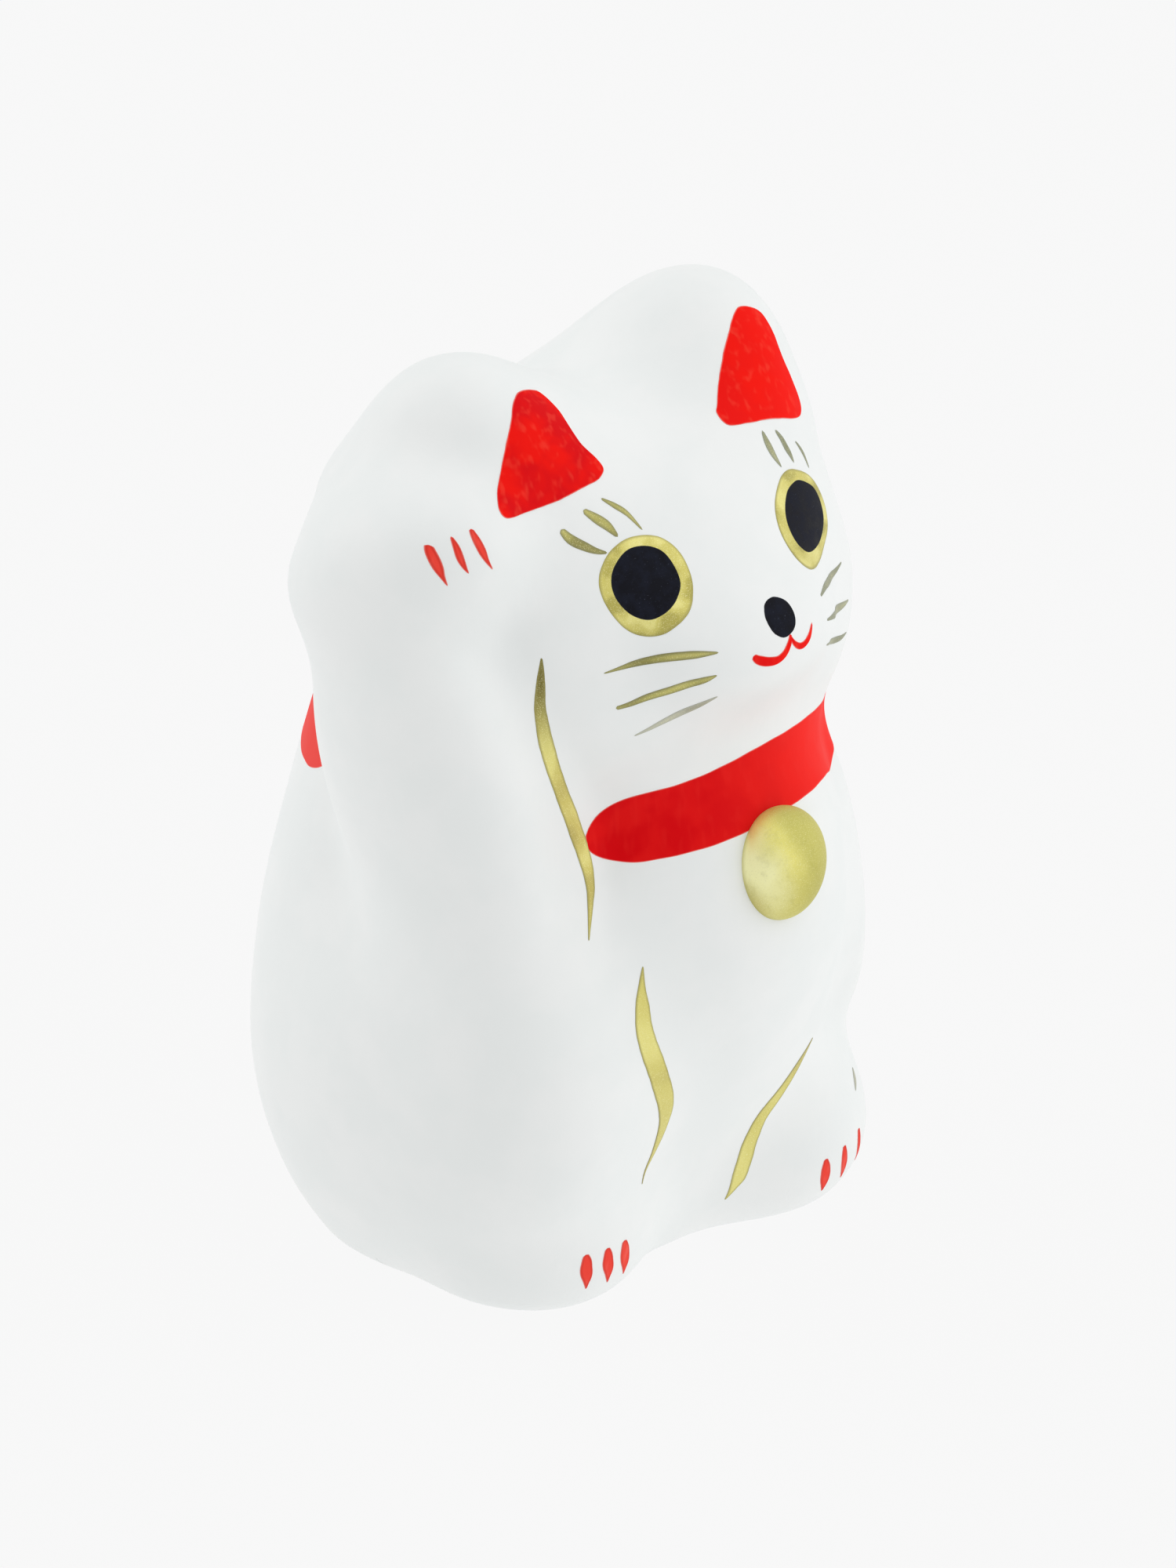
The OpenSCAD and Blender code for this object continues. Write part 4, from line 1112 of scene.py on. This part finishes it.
def studio_light():
    """A white tent all round, dimmer on some sides."""
    world = bpy.data.worlds.new("tent")
    bpy.context.scene.world = world
    n = Nodes(world)
    view = n.add("TexCoord").outputs["Generated"]
    light = WORLD_LIGHT
    for way, change, focus in LIGHT_SIDES:
        dot = n.add("VectorMath", {0: view, 1: way}, operation="DOT_PRODUCT").outputs["Value"]
        half = n.math("MAXIMUM", n.math("MULTIPLY_ADD", dot, 0.5, 0.5), 0.0)
        light = n.math("ADD", light, n.math("MULTIPLY", n.math("POWER", half, focus), change))
    light = n.math("MAXIMUM", light, DARKEST_LIGHT)
    background = n.add("Background", {"Color": (1, 1, 1, 1), "Strength": light})
    n.add("OutputWorld", {"Surface": background})
    bpy.context.scene.view_settings.view_transform = "Standard"


CAMERA_AZIMUTH, CAMERA_ELEVATION, CAMERA_ROLL = -43.0, 28.0, -1.0
CAMERA_DISTANCE = 1.0
CAMERA_AIM = (0.00016, 0.0441)  # right and up of the origin, across the view
CAMERA_LENS, SENSOR = 219.6, 36.0
CAMERA_CLIP = (0.01, 50)


def camera():
    a, e, r = (math.radians(v) for v in (CAMERA_AZIMUTH, CAMERA_ELEVATION, CAMERA_ROLL))
    back = np.array([math.sin(a) * math.cos(e), -math.cos(a) * math.cos(e), math.sin(e)])
    level = np.array([math.cos(a), math.sin(a), 0.0])
    up = np.cross(back, level)
    right = math.cos(r) * level + math.sin(r) * up
    up = np.cross(back, right)
    eye = back * CAMERA_DISTANCE
    aim = right * CAMERA_AIM[0] + up * CAMERA_AIM[1]
    back = (eye - aim) / np.linalg.norm(eye - aim)
    right = right - back * (right @ back)
    right /= np.linalg.norm(right)
    up = np.cross(back, right)
    data = bpy.data.cameras.new("camera")
    data.lens = CAMERA_LENS
    data.sensor_width = SENSOR
    data.clip_start, data.clip_end = CAMERA_CLIP
    view = bpy.data.objects.new("camera", data)
    bpy.context.scene.collection.objects.link(view)
    matrix = np.eye(4)
    matrix[:3, :3] = np.stack([right, up, back], 1)
    matrix[:3, 3] = eye
    view.matrix_world = matrix.T.tolist()
    bpy.context.scene.camera = view


pale_floor()
studio_light()
camera()
